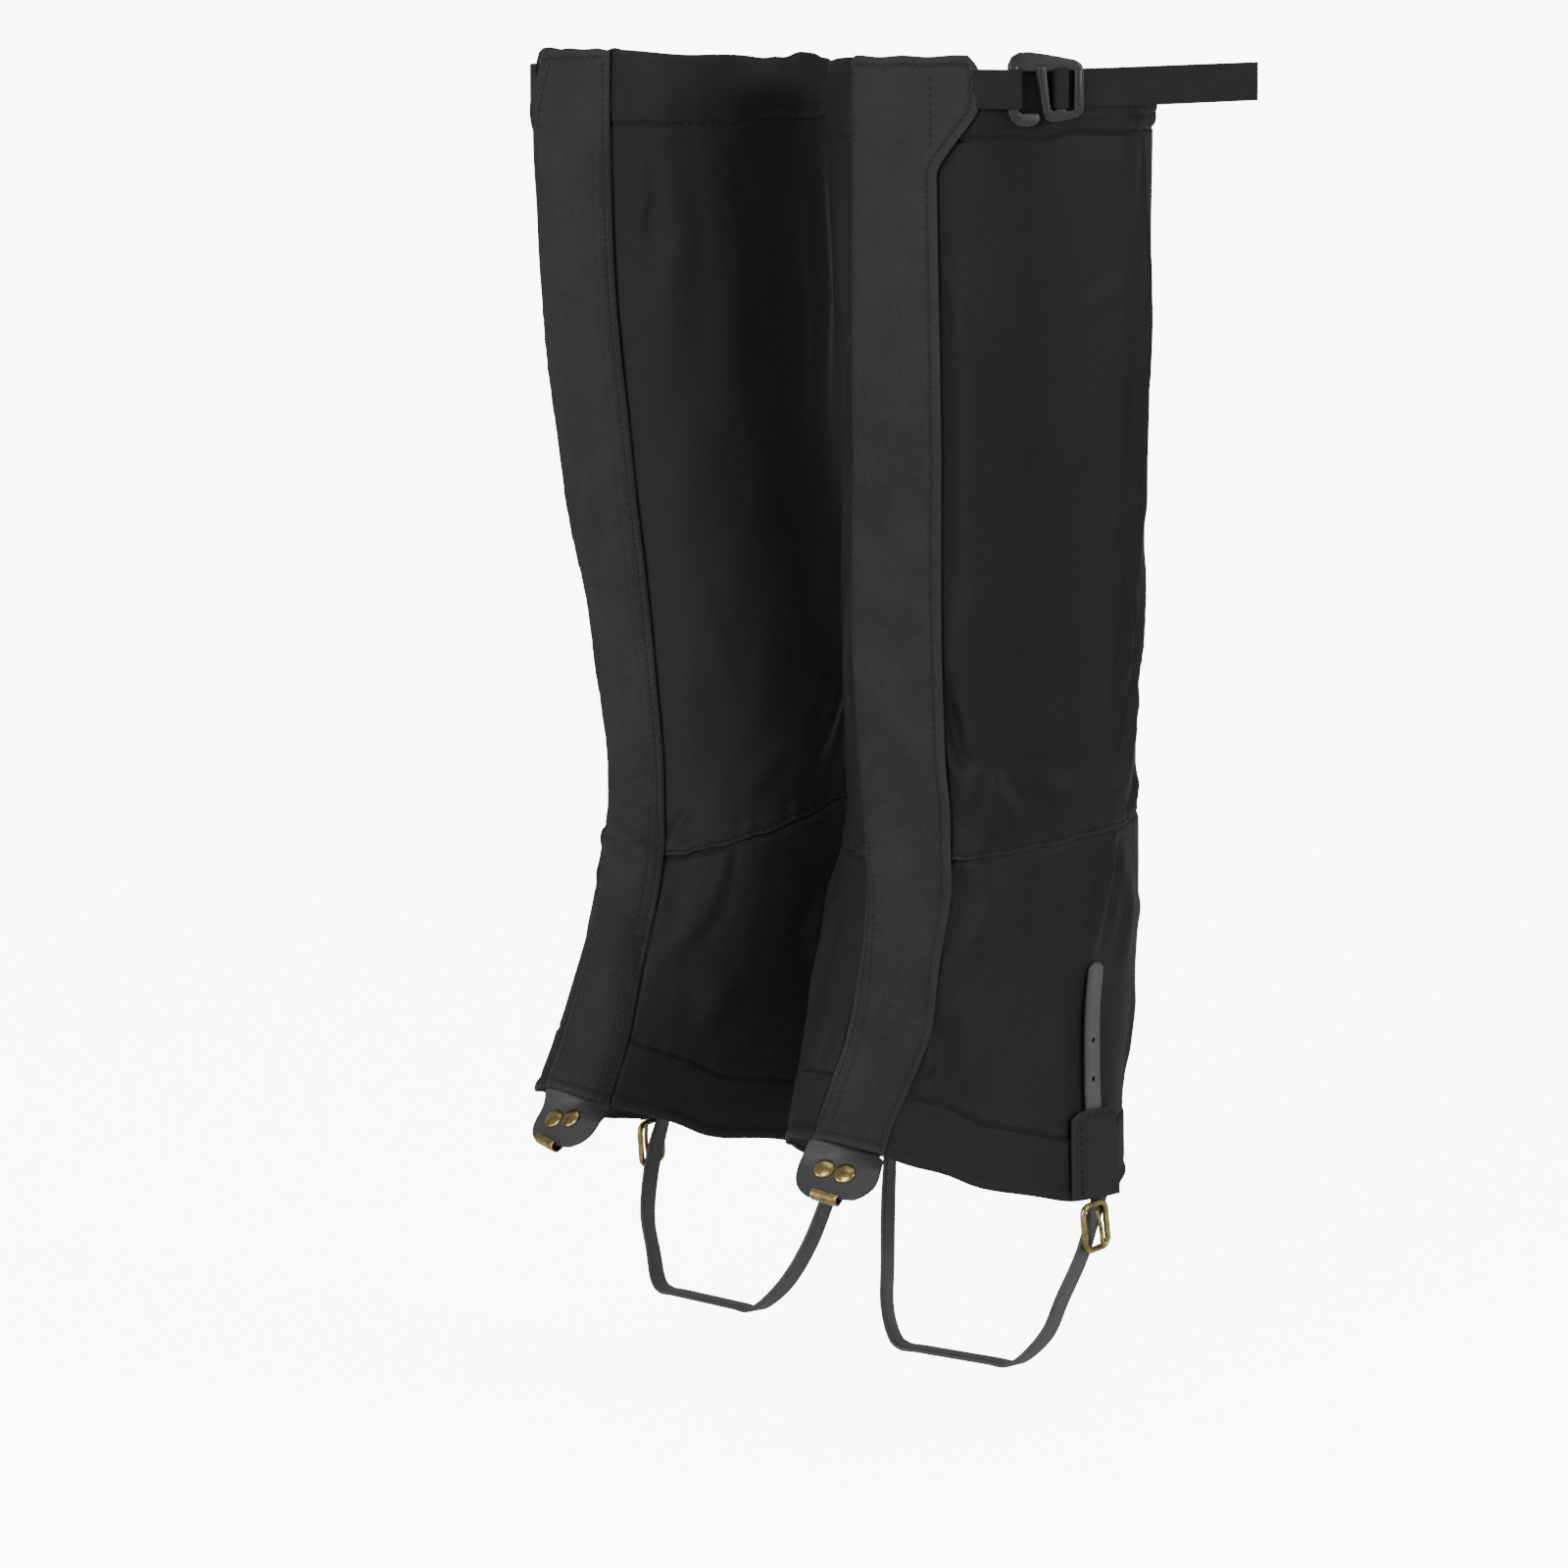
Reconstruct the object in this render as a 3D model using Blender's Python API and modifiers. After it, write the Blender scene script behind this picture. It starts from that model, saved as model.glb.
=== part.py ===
"""A pair of hiking gaiters in the form they have when worn, standing side by side.

Each gaiter is a cloth leg with an open front under a long flap, an elastic casing at the top, a turned hem at
the bottom, a webbing strap with a ladder buckle, a lace hook on a tab and a strap that runs under the sole.
Heights in the tables are millimetres above the ground. Angles are degrees round the leg: 0 is forward, 90 is
outward, 180 is backward and -90 is inward. The scene itself is in metres, +Z up, the pair faces -Y, and the
origin lies between the two top bands, at the middle of their webbing straps.
"""
import math
from typing import NamedTuple

import bmesh
import bpy
from mathutils import Matrix, Vector

MM = 0.001
SETTLE_ROUNDS = 4            # rounds that settle an angle and a height that depend on each other
HOLD_HEIGHT = 530.0          # the middle of the webbing straps, above the ground
ANKLE_OUT, ANKLE_FORWARD = 70.0, 2.0   # the upright line the lower part turns about
SPLAY_TOP, SPLAY_DEPTH = 270.0, 120.0  # that turn grows over this height, downward

TOP_EDGE = 536.5             # upper edge of the top casing
CASING_HEIGHT = 23.5
SEAM_GAP = 0.3
HEM_DEPTH = 25.0
FLAP_TOP = 539.5
FLAP_HEM_STEP = 0.4          # the flap ends this far above the cloth's bottom edge
UNDERLAP = 36.0              # how far the outer front edge runs in under the flap
FLAP_LAP = 5.0               # how far the flap lies over the inner front edge
FRONT_GAP = 3.0              # least gap between the two front edges of the cloth

PANEL_WALL = 1.2
ANKLE_WALL = 1.5
CASING_WALL = 2.1
HEM_WALL = 2.0
TAPE_WALL = 1.0
FLAP_WALL = 1.8
STRAP_WALL = 2.0
PATCH_WALL = 1.6
WEBBING_WALL = 1.3
WEBBING_WIDTH = 15.0

PANEL_FACE = 0.0             # how far each outer face lies outside the leg's measured form
ANKLE_FACE = 0.3
CASING_FACE = 0.9
HEM_FACE = 0.8
FACET_ROOM = 0.5             # extra gap where sheets with unlike facets lie on each other
TAPE_FACE = ANKLE_FACE + SEAM_GAP + FACET_ROOM + TAPE_WALL
FLAP_FACE = TAPE_FACE + SEAM_GAP + FACET_ROOM + FLAP_WALL
FLAP_FACE_ON_CASING = CASING_FACE + SEAM_GAP + FACET_ROOM + FLAP_WALL

TAPE_WIDTH = 19.0
TAPE_FROM_EDGE = 5.0         # from the flap's free edge in to the tape
TAPE_TOP_CLEAR, TAPE_BOTTOM_CLEAR = 13.0, 14.0

BUCKLE_ANGLE = 66.0
BUCKLE_PLATE = 2.4
BUCKLE_LIFT = 1.9            # gap between the casing and the back of the buckle
HOOK_BAR = (-14.0, -10.2)    # each bar's two edges, along the strap from the buckle's middle
CENTRE_BAR = (-3.8, 0.0)
MIDDLE_BAR = (4.2, 7.8)
END_BAR = (11.2, 15.2)
RAIL_INNER, RAIL_OUTER = 8.0, 12.4
HOOK_GAP = 2.2
TAIL_LENGTH = 84.0           # the webbing's free end, past the point where it leaves the casing
TAIL_ANGLES = (83.0, 87.0, 91.0)

TAB_WIDTH, TAB_DROP = 31.0, 19.0
TAB_LEAN = 0.8               # height lost for each millimetre of drop, as the tab slopes forward
TAB_WALL = 1.6
TAB_FACE = FLAP_FACE - 0.6
RIVET_RADIUS = 4.3
RIVET_SPACING = 9.6
RIVET_DROP = 7.0
LACE_HOOK_WIDTH, LACE_HOOK_WALL = 12.0, 0.9

SLEEVE_ANGLE = 96.0          # middle of the foot strap on the outer side
SLEEVE_WIDTH = 26.0
ANCHOR_ANGLE = -97.0         # and on the inner side
ANCHOR_WIDTH = 22.0
FOOT_STRAP_WIDTH = 10.0
FOOT_STRAP_LEVEL = 24.0      # underside of the flat stretch under the sole
TAIL_TOP = 186.0             # upper tip of the foot strap
PATCH_TOP, ANCHOR_TOP = 127.0, 121.0
FRAME_WIRE, PRONG_WIRE = 1.15, 0.85    # radii
FRAME_HALF_WIDTH, FRAME_LOW, FRAME_HIGH = 7.6, -20.5, -2.0


class Section(NamedTuple):
    """One level cut through the leg: where its middle lies and how far it reaches."""
    height: float
    out: float
    forward: float
    half_width: float
    front: float
    back: float
    taper: float     # how much the front half narrows


SECTIONS = (
    Section(85, 69.5, 3.0, 50.0, 122.0, 49.5, 0.22),
    Section(100, 69.0, 3.0, 50.0, 121.5, 50.0, 0.22),
    Section(115, 67.2, 3.0, 50.0, 117.5, 53.0, 0.22),
    Section(130, 65.5, 3.0, 50.0, 111.0, 57.5, 0.21),
    Section(145, 64.1, 3.0, 50.5, 103.3, 65.5, 0.19),
    Section(160, 63.3, 3.0, 51.0, 95.8, 72.5, 0.16),
    Section(175, 63.5, 3.0, 51.5, 88.0, 75.0, 0.13),
    Section(190, 64.1, 3.0, 52.0, 79.8, 75.0, 0.10),
    Section(205, 65.3, 3.0, 53.0, 71.5, 72.5, 0.07),
    Section(220, 67.3, 3.0, 53.5, 64.6, 68.5, 0.04),
    Section(235, 69.4, 3.0, 54.0, 60.6, 63.5, 0.02),
    Section(250, 70.9, 3.0, 54.5, 59.0, 61.0, 0.00),
    Section(270, 71.5, 3.5, 55.0, 59.5, 59.5, 0.00),
    Section(300, 73.0, 5.5, 56.5, 60.5, 60.5, 0.00),
    Section(330, 75.9, 8.5, 57.5, 61.0, 61.0, 0.00),
    Section(360, 79.3, 11.5, 58.0, 61.0, 61.0, 0.00),
    Section(390, 82.3, 14.4, 58.5, 60.5, 60.5, 0.00),
    Section(420, 84.2, 16.8, 59.5, 61.5, 61.5, 0.00),
    Section(450, 84.9, 18.3, 60.5, 63.0, 63.0, 0.00),
    Section(507, 85.5, 20.2, 61.5, 64.0, 64.0, 0.00),
    Section(540, 85.4, 20.3, 61.0, 64.0, 64.0, 0.00),
)


class FlapRow(NamedTuple):
    """The front flap at one height: the angle of its middle and the angle it spans."""
    height: float
    middle: float
    span: float


LEFT_FLAP = (
    FlapRow(110, 18.0, 31.0), FlapRow(125, 18.5, 31.0), FlapRow(145, 22.0, 32.0),
    FlapRow(165, 24.5, 32.0), FlapRow(190, 21.5, 33.0), FlapRow(215, 16.5, 38.0),
    FlapRow(238, 9.0, 44.0), FlapRow(262, 5.5, 47.0), FlapRow(295, 4.5, 47.0),
    FlapRow(335, 4.0, 46.0), FlapRow(400, 3.5, 44.5), FlapRow(450, 6.0, 41.0),
    FlapRow(500, 7.5, 38.0), FlapRow(540, 7.5, 38.0),
)
RIGHT_FLAP = (
    FlapRow(110, -15.5, 31.0), FlapRow(125, -15.0, 31.0), FlapRow(145, -13.0, 32.0),
    FlapRow(165, -9.5, 32.0), FlapRow(190, -5.0, 33.0), FlapRow(215, 1.0, 37.0),
    FlapRow(238, 7.5, 43.0), FlapRow(262, 10.0, 46.0), FlapRow(295, 10.5, 47.0),
    FlapRow(335, 7.5, 46.0), FlapRow(400, 4.5, 44.5), FlapRow(450, 2.5, 41.0),
    FlapRow(500, 0.5, 38.0), FlapRow(540, 0.0, 38.0),
)


class ExtensionRow(NamedTuple):
    """How far the flap's upper corner reaches towards the buckle, in degrees past its straight edge."""
    height: float
    reach: float


FLAP_EXTENSION = (
    ExtensionRow(498, 0.0), ExtensionRow(502, 1.6), ExtensionRow(512, 8.3), ExtensionRow(521, 14.2),
    ExtensionRow(524, 14.9), ExtensionRow(533, 14.9), ExtensionRow(536.5, 13.4), ExtensionRow(539.5, 9.5),
)


class HemRow(NamedTuple):
    """Height of the bottom edge at an angle from the front, the same on both sides of the leg."""
    angle: float
    height: float


HEM_LINE = (
    HemRow(0, 130.5), HemRow(11, 129), HemRow(22, 125.5), HemRow(34, 120), HemRow(45, 114.5),
    HemRow(53, 110), HemRow(60, 104.5), HemRow(68, 99.5), HemRow(76, 95.5), HemRow(86, 92),
    HemRow(102, 92), HemRow(127, 96), HemRow(155, 99), HemRow(180, 100),
)


class Fold(NamedTuple):
    """A soft ridge (or a trough, where rise is negative) through places given as (angle, height)."""
    places: tuple
    rise: float
    half_width: float


FOLDS = (
    Fold(((102, 505), (110, 440), (112, 390), (107, 330), (105, 258)), 1.8, 11.0),
    Fold(((124, 335), (115, 295), (108, 262), (98, 236), (91, 205), (89, 186)), 1.8, 10.0),
    Fold(((38, 330), (34, 295), (37, 266), (50, 248)), 1.6, 10.0),
    Fold(((42, 231), (48, 216), (47, 202), (43, 188)), 2.0, 10.0),
    Fold(((47, 168), (51, 148)), 2.0, 10.0),
    Fold(((-112, 345), (-98, 300), (-76, 258)), 1.7, 11.0),
    Fold(((-56, 216), (-62, 192), (-58, 168)), 1.6, 11.0),
    Fold(((176, 470), (182, 400), (178, 340)), 1.5, 12.0),
    Fold(((205, 318), (186, 285), (158, 262)), -1.8, 11.0),
    Fold(((214, 282), (190, 258), (165, 246)), 1.8, 9.0),
    Fold(((200, 222), (178, 206), (150, 196)), 1.6, 10.0),
    Fold(((228, 420), (236, 372), (232, 320)), 1.3, 12.0),
)


class Leg(NamedTuple):
    """One gaiter: the left lies at +X, and the right is its mirror image apart from these values."""
    name: str
    side: int
    splay: float       # how far the lower part turns outward, in degrees
    seam_drop: float   # how much lower the ankle seam runs at the front
    flap: tuple
    tab_angle: float


LEGS = (
    Leg("left", 1, 8.0, 9.0, LEFT_FLAP, 14.0),
    Leg("right", -1, 0.0, 22.0, RIGHT_FLAP, -13.5),
)
ANKLE_SEAM = 238.0
ANKLE_SEAM_BACK_RISE = 6.0


class Track:
    """A smooth curve through a table's rows, read by one column against another."""

    def __init__(self, rows, key, column):
        self.xs = [getattr(row, key) for row in rows]
        self.ys = [getattr(row, column) for row in rows]
        count = len(self.xs)
        self.slopes = []
        for i in range(count):
            low, high = max(i - 1, 0), min(i + 1, count - 1)
            self.slopes.append((self.ys[high] - self.ys[low]) / (self.xs[high] - self.xs[low]))

    def __call__(self, x):
        x = min(max(x, self.xs[0]), self.xs[-1])
        i = 0
        while i < len(self.xs) - 2 and x > self.xs[i + 1]:
            i += 1
        step = self.xs[i + 1] - self.xs[i]
        t = (x - self.xs[i]) / step
        return (
            (2 * t**3 - 3 * t**2 + 1) * self.ys[i]
            + (t**3 - 2 * t**2 + t) * step * self.slopes[i]
            + (3 * t**2 - 2 * t**3) * self.ys[i + 1]
            + (t**3 - t**2) * step * self.slopes[i + 1]
        )


SECTION_TRACKS = {name: Track(SECTIONS, "height", name) for name in Section._fields[1:]}
FLAP_TRACKS = {
    leg.name: (Track(leg.flap, "height", "middle"), Track(leg.flap, "height", "span")) for leg in LEGS
}
EXTENSION_TRACK = Track(FLAP_EXTENSION, "height", "reach")
HEM_TRACK = Track(HEM_LINE, "angle", "height")


# ---------------------------------------------------------------- the leg's form

def in_scene(point):
    """World millimetres above the ground, in metres from the origin."""
    return (point - Vector((0, 0, HOLD_HEIGHT))) * MM


def ease(t):
    """0 below 0, 1 above 1 and a smooth step between."""
    t = min(max(t, 0.0), 1.0)
    return t * t * (3 - 2 * t)


def splayed_point(leg, out, forward, height):
    """A place given from the ankle's upright line, turned with the lower part, in world millimetres."""
    splay = math.radians(leg.splay) * ease((SPLAY_TOP - height) / SPLAY_DEPTH)
    turned_out = out * math.cos(splay) + forward * math.sin(splay)
    turned_forward = forward * math.cos(splay) - out * math.sin(splay)
    return Vector((leg.side * (ANKLE_OUT + turned_out), -(ANKLE_FORWARD + turned_forward), height))


def level_point(leg, angle, height):
    """The point of the smooth leg form at an angle and height, in world millimetres."""
    cut = {name: track(height) for name, track in SECTION_TRACKS.items()}
    turn = math.radians(angle)
    reach = cut["front"] if math.cos(turn) > 0 else cut["back"]
    out = cut["out"] + cut["half_width"] * math.sin(turn) * (1 - cut["taper"] * math.cos(turn)) - ANKLE_OUT
    forward = cut["forward"] + reach * math.cos(turn) - ANKLE_FORWARD
    return splayed_point(leg, out, forward, height)


def normal_at(leg, angle, height):
    """The outward direction of the smooth leg form."""
    along = level_point(leg, angle + 0.5, height) - level_point(leg, angle - 0.5, height)
    upward = level_point(leg, angle, height + 0.5) - level_point(leg, angle, height - 0.5)
    return (along.cross(upward) * leg.side).normalized()


def fold_rise(angle, height):
    """How far all the folds lift the cloth at one place."""
    total = 0.0
    for fold in FOLDS:
        nearest = 1e9
        for (a0, h0), (a1, h1) in zip(fold.places, fold.places[1:]):
            turns = round((a0 - angle) / 360)
            x = (angle + 360 * turns - a0) * 1.05
            y = height - h0
            dx, dy = (a1 - a0) * 1.05, h1 - h0
            t = min(max((x * dx + y * dy) / (dx * dx + dy * dy), 0.0), 1.0)
            nearest = min(nearest, math.hypot(x - t * dx, y - t * dy))
        total += fold.rise * math.exp(-((nearest / fold.half_width) ** 2))
    return total


def cloth_point(leg, angle, height, offset):
    """A point that lies a given distance outside the folded cloth, in metres from the origin."""
    lift = offset + fold_rise(angle, height)
    return in_scene(level_point(leg, angle, height) + normal_at(leg, angle, height) * lift)


def degrees_for(leg, angle, height, length):
    """The change of angle that covers a length along the leg at one place."""
    step = (level_point(leg, angle + 1, height) - level_point(leg, angle - 1, height)).length / 2
    return length / step


def flap_edges(leg, height):
    """(inner, outer) angles of the flap's straight edges."""
    middle, span = FLAP_TRACKS[leg.name]
    return middle(height) - span(height) / 2, middle(height) + span(height) / 2


def panel_edges(leg, height):
    """(start, end) angles of the cloth that goes round the leg, from under the flap to its inner seam."""
    inner, outer = flap_edges(leg, height)
    lap = degrees_for(leg, inner, height, FLAP_LAP)
    underlap = degrees_for(leg, outer, height, UNDERLAP)
    clear_of_lap = degrees_for(leg, inner, height, FLAP_LAP + FRONT_GAP)
    return max(outer - underlap, inner + clear_of_lap), 360 + inner + lap


def seam_height(leg, angle):
    """Height of the ankle seam."""
    facing = math.cos(math.radians(angle))
    return ANKLE_SEAM - leg.seam_drop * max(facing, 0) + ANKLE_SEAM_BACK_RISE * max(-facing, 0)


def hem_height(angle):
    """Height of the bottom edge."""
    return HEM_TRACK(abs((angle + 180) % 360 - 180))


# ---------------------------------------------------------------- making solids

def new_collection(name):
    """A collection in the scene."""
    collection = bpy.data.collections.new(name)
    bpy.context.scene.collection.children.link(collection)
    return collection


def make_material(name, colour, roughness, metallic=0.0):
    """A Principled material."""
    material = bpy.data.materials.new(name)
    material.use_nodes = True
    shader = material.node_tree.nodes["Principled BSDF"]
    shader.inputs["Base Color"].default_value = (*colour, 1.0)
    shader.inputs["Roughness"].default_value = roughness
    shader.inputs["Metallic"].default_value = metallic
    material.diffuse_color = (*colour, 1.0)
    return material


def add_object(name, data, material, collection):
    """An object that shows a mesh or a curve with one material."""
    obj = bpy.data.objects.new(name, data)
    obj.data.materials.append(material)
    collection.objects.link(obj)
    return obj


def sheet(name, columns, rows, place, wall, material, collection, mirrored=False):
    """A cloth wall: a grid put on its form by place(across, up), both 0 to 1, then thickened inward."""
    bm = bmesh.new()
    bmesh.ops.create_grid(bm, x_segments=columns, y_segments=rows, size=1.0)
    for vertex in bm.verts:
        vertex.co = place((vertex.co.x + 1) / 2, (vertex.co.y + 1) / 2)
    if mirrored:
        bmesh.ops.reverse_faces(bm, faces=bm.faces)
    mesh = bpy.data.meshes.new(name)
    bm.to_mesh(mesh)
    bm.free()
    mesh.shade_smooth()
    obj = add_object(name, mesh, material, collection)
    thicken = obj.modifiers.new("Wall", "SOLIDIFY")
    thicken.thickness = wall * MM
    thicken.offset = -1.0
    return obj


def band(leg, name, low, high, face, wall, columns, rows, material, collection):
    """A piece of the cloth that goes round the leg, between two edges given as heights by angle."""
    def place(across, up):
        height = (low(0) + high(0)) / 2
        for _ in range(SETTLE_ROUNDS):
            start, end = panel_edges(leg, height)
            angle = start + (end - start) * across
            height = low(angle) + (high(angle) - low(angle)) * up
        return cloth_point(leg, angle, height, face)

    return sheet(f"{leg.name}_{name}", columns, rows, place, wall, material, collection, leg.side < 0)


def ribbon(name, path, widths, wall, material, collection, mirrored):
    """A strip of webbing or strap along a path, with the half-width vector at each of its points."""
    last = len(path) - 1

    def place(across, up):
        i = round(across * last)
        return path[i] + widths[i] * (2 * up - 1)

    return sheet(name, last, 1, place, wall, material, collection, mirrored)


def smooth_path(points, per_span):
    """Points on a smooth curve through the given ones (each a Vector of any size)."""
    out = []
    for i in range(len(points) - 1):
        before = points[max(i - 1, 0)]
        after = points[min(i + 2, len(points) - 1)]
        a, b = points[i], points[i + 1]
        for k in range(per_span):
            t = k / per_span
            out.append(
                0.5 * (
                    2 * a + (b - before) * t + (2 * before - 5 * a + 4 * b - after) * t**2
                    + (3 * a - before - 3 * b + after) * t**3
                )
            )
    out.append(points[-1].copy())
    return out


def curve_plate(name, outlines, thickness, bevel, matrix, material, collection):
    """A flat plate from closed outlines (the first one outside, the rest its windows), in millimetres."""
    curve = bpy.data.curves.new(name, "CURVE")
    curve.dimensions = "2D"
    curve.fill_mode = "BOTH"
    curve.extrude = (thickness / 2 - bevel) * MM
    curve.bevel_depth = bevel * MM
    curve.bevel_resolution = 0
    curve.offset = -bevel * MM
    for outline in outlines:
        spline = curve.splines.new("POLY")
        spline.points.add(len(outline) - 1)
        for point, (x, y) in zip(spline.points, outline):
            point.co = (x * MM, y * MM, 0, 1)
        spline.use_cyclic_u = True
    obj = bpy.data.objects.new(name, curve)
    collection.objects.link(obj)
    bpy.context.view_layer.update()
    mesh = bpy.data.meshes.new_from_object(obj.evaluated_get(bpy.context.evaluated_depsgraph_get()))
    bpy.data.objects.remove(obj)
    bm = bmesh.new()
    bm.from_mesh(mesh)
    bmesh.ops.remove_doubles(bm, verts=bm.verts, dist=1e-6)
    bmesh.ops.transform(bm, matrix=matrix, verts=bm.verts)
    if matrix.determinant() < 0:
        bmesh.ops.reverse_faces(bm, faces=bm.faces)
    bm.to_mesh(mesh)
    bm.free()
    mesh.materials.clear()
    return add_object(name, mesh, material, collection)


def rounded_box(left, right, low, high, radius, steps=3):
    """The outline of a rectangle with round corners."""
    centres = (
        (right - radius, high - radius, 0), (left + radius, high - radius, 90),
        (left + radius, low + radius, 180), (right - radius, low + radius, 270),
    )
    return [
        (x + radius * math.cos(math.radians(start + 90 * k / steps)),
         y + radius * math.sin(math.radians(start + 90 * k / steps)))
        for x, y, start in centres for k in range(steps + 1)
    ]


def place_matrix(origin, along, upward, outward):
    """The matrix that carries x, y and z to three directions at a place."""
    matrix = Matrix.Identity(4)
    for column, axis in enumerate((along, upward, outward)):
        matrix.col[column] = (*axis, 0.0)
    matrix.col[3] = (*origin, 1.0)
    return matrix


def surface_frame(leg, angle, height, offset):
    """(origin, backward-going tangent, up, outward) on the leg, the tangent pointing to larger angles."""
    origin = cloth_point(leg, angle, height, offset)
    outward = normal_at(leg, angle, height)
    along = level_point(leg, angle + 0.5, height) - level_point(leg, angle - 0.5, height)
    along = (along - outward * along.dot(outward)).normalized()
    upward = outward.cross(along) * leg.side
    return origin, along, upward.normalized(), outward


# ---------------------------------------------------------------- the cloth leg

def build_leg_cloth(leg, cloth, heavy_cloth, collection):
    """The four pieces that go round the leg, from the top casing down to the hem casing."""
    casing_low = TOP_EDGE - CASING_HEIGHT
    band(leg, "top_casing", lambda a: casing_low, lambda a: TOP_EDGE,
         CASING_FACE, CASING_WALL, 36, 1, cloth, collection)
    band(leg, "leg_panel", lambda a: seam_height(leg, a) + SEAM_GAP, lambda a: casing_low - SEAM_GAP,
         PANEL_FACE, PANEL_WALL, 36, 12, cloth, collection)
    band(leg, "ankle_panel", lambda a: hem_height(a) + HEM_DEPTH + SEAM_GAP, lambda a: seam_height(leg, a),
         ANKLE_FACE, ANKLE_WALL, 36, 5, heavy_cloth, collection)
    band(leg, "hem_casing", hem_height, lambda a: hem_height(a) + HEM_DEPTH,
         HEM_FACE, HEM_WALL, 36, 2, heavy_cloth, collection)


def build_closure_tape(leg, material, collection):
    """The hook-and-loop tape on the outer front edge, under the flap."""
    top = TOP_EDGE - CASING_HEIGHT - TAPE_TOP_CLEAR
    lowest_flap_row = leg.flap[1].height
    bottom = hem_height(flap_edges(leg, lowest_flap_row)[1]) + HEM_DEPTH + TAPE_BOTTOM_CLEAR

    def place(across, up):
        height = bottom + (top - bottom) * up
        _, outer = flap_edges(leg, height)
        end = outer - degrees_for(leg, outer, height, TAPE_FROM_EDGE)
        start = end - degrees_for(leg, outer, height, TAPE_WIDTH)
        start = max(start, panel_edges(leg, height)[0] + 1.0)
        return cloth_point(leg, start + (end - start) * across, height, TAPE_FACE)

    sheet(f"{leg.name}_closure_tape", 3, 16, place, TAPE_WALL, material, collection, leg.side < 0)


def build_flap(leg, material, collection):
    """The long front flap, lapped on the inner seam and free at its outer edge, with the buckle's corner."""
    step_starts, step_depth = TOP_EDGE - CASING_HEIGHT - 8.0, 6.0

    def place(across, up):
        height = leg.flap[2].height
        for _ in range(SETTLE_ROUNDS):
            inner, outer = flap_edges(leg, height)
            outer += EXTENSION_TRACK(height) if height > FLAP_EXTENSION[0].height else 0.0
            angle = inner + (outer - inner) * across
            bottom = hem_height(angle) + FLAP_HEM_STEP
            height = bottom + (FLAP_TOP - bottom) * up
        on_casing = ease((height - step_starts) / step_depth)
        return cloth_point(leg, angle, height, FLAP_FACE + (FLAP_FACE_ON_CASING - FLAP_FACE) * on_casing)

    sheet(f"{leg.name}_front_flap", 6, 26, place, FLAP_WALL, material, collection, leg.side < 0)


# ---------------------------------------------------------------- strap and buckle at the top

def build_ladder_buckle(leg, material, collection):
    """A flat ladder buckle: four bars between two rails, the hook bar open at its lower end."""
    origin, along, upward, outward = surface_frame(leg, BUCKLE_ANGLE, HOLD_HEIGHT, CASING_FACE)
    origin = origin + outward * (BUCKLE_LIFT + BUCKLE_PLATE / 2) * MM
    left, right = HOOK_BAR[0] - 0.9, END_BAR[1]
    hook_end = CENTRE_BAR[0] - HOOK_GAP
    outline = [
        (right - 2.5, -RAIL_OUTER + 0.6), (right, -RAIL_OUTER + 3.0), (right, RAIL_OUTER - 4.2),
        (right - 2.2, RAIL_OUTER - 1.6), (-2.0, RAIL_OUTER - 0.2), (-8.0, RAIL_OUTER + 0.6),
        (-12.0, RAIL_OUTER), (left, RAIL_OUTER - 3.2), (left, -RAIL_OUTER + 2.8),
        (left + 1.8, -RAIL_OUTER + 0.4), (-9.5, -RAIL_OUTER - 0.2), (hook_end - 1.2, -RAIL_OUTER + 0.5),
        (hook_end, -RAIL_OUTER + 2.2), (hook_end - 0.8, -RAIL_INNER - 0.6), (HOOK_BAR[1], -RAIL_INNER - 0.4),
        (HOOK_BAR[1], RAIL_INNER), (CENTRE_BAR[0] - 0.4, RAIL_INNER), (CENTRE_BAR[0] - 0.4, -RAIL_INNER),
        (CENTRE_BAR[0] + 0.6, -RAIL_OUTER + 1.4), (CENTRE_BAR[0] + 2.4, -RAIL_OUTER + 0.2),
    ]
    windows = [
        rounded_box(CENTRE_BAR[1], MIDDLE_BAR[0], -RAIL_INNER, RAIL_INNER, 0.8, 2)[::-1],
        rounded_box(MIDDLE_BAR[1], END_BAR[0], -RAIL_INNER, RAIL_INNER, 0.8, 2)[::-1],
    ]
    curve_plate(f"{leg.name}_ladder_buckle", [outline, *windows], BUCKLE_PLATE, 0.5,
                place_matrix(origin, along, upward, outward), material, collection)


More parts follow.
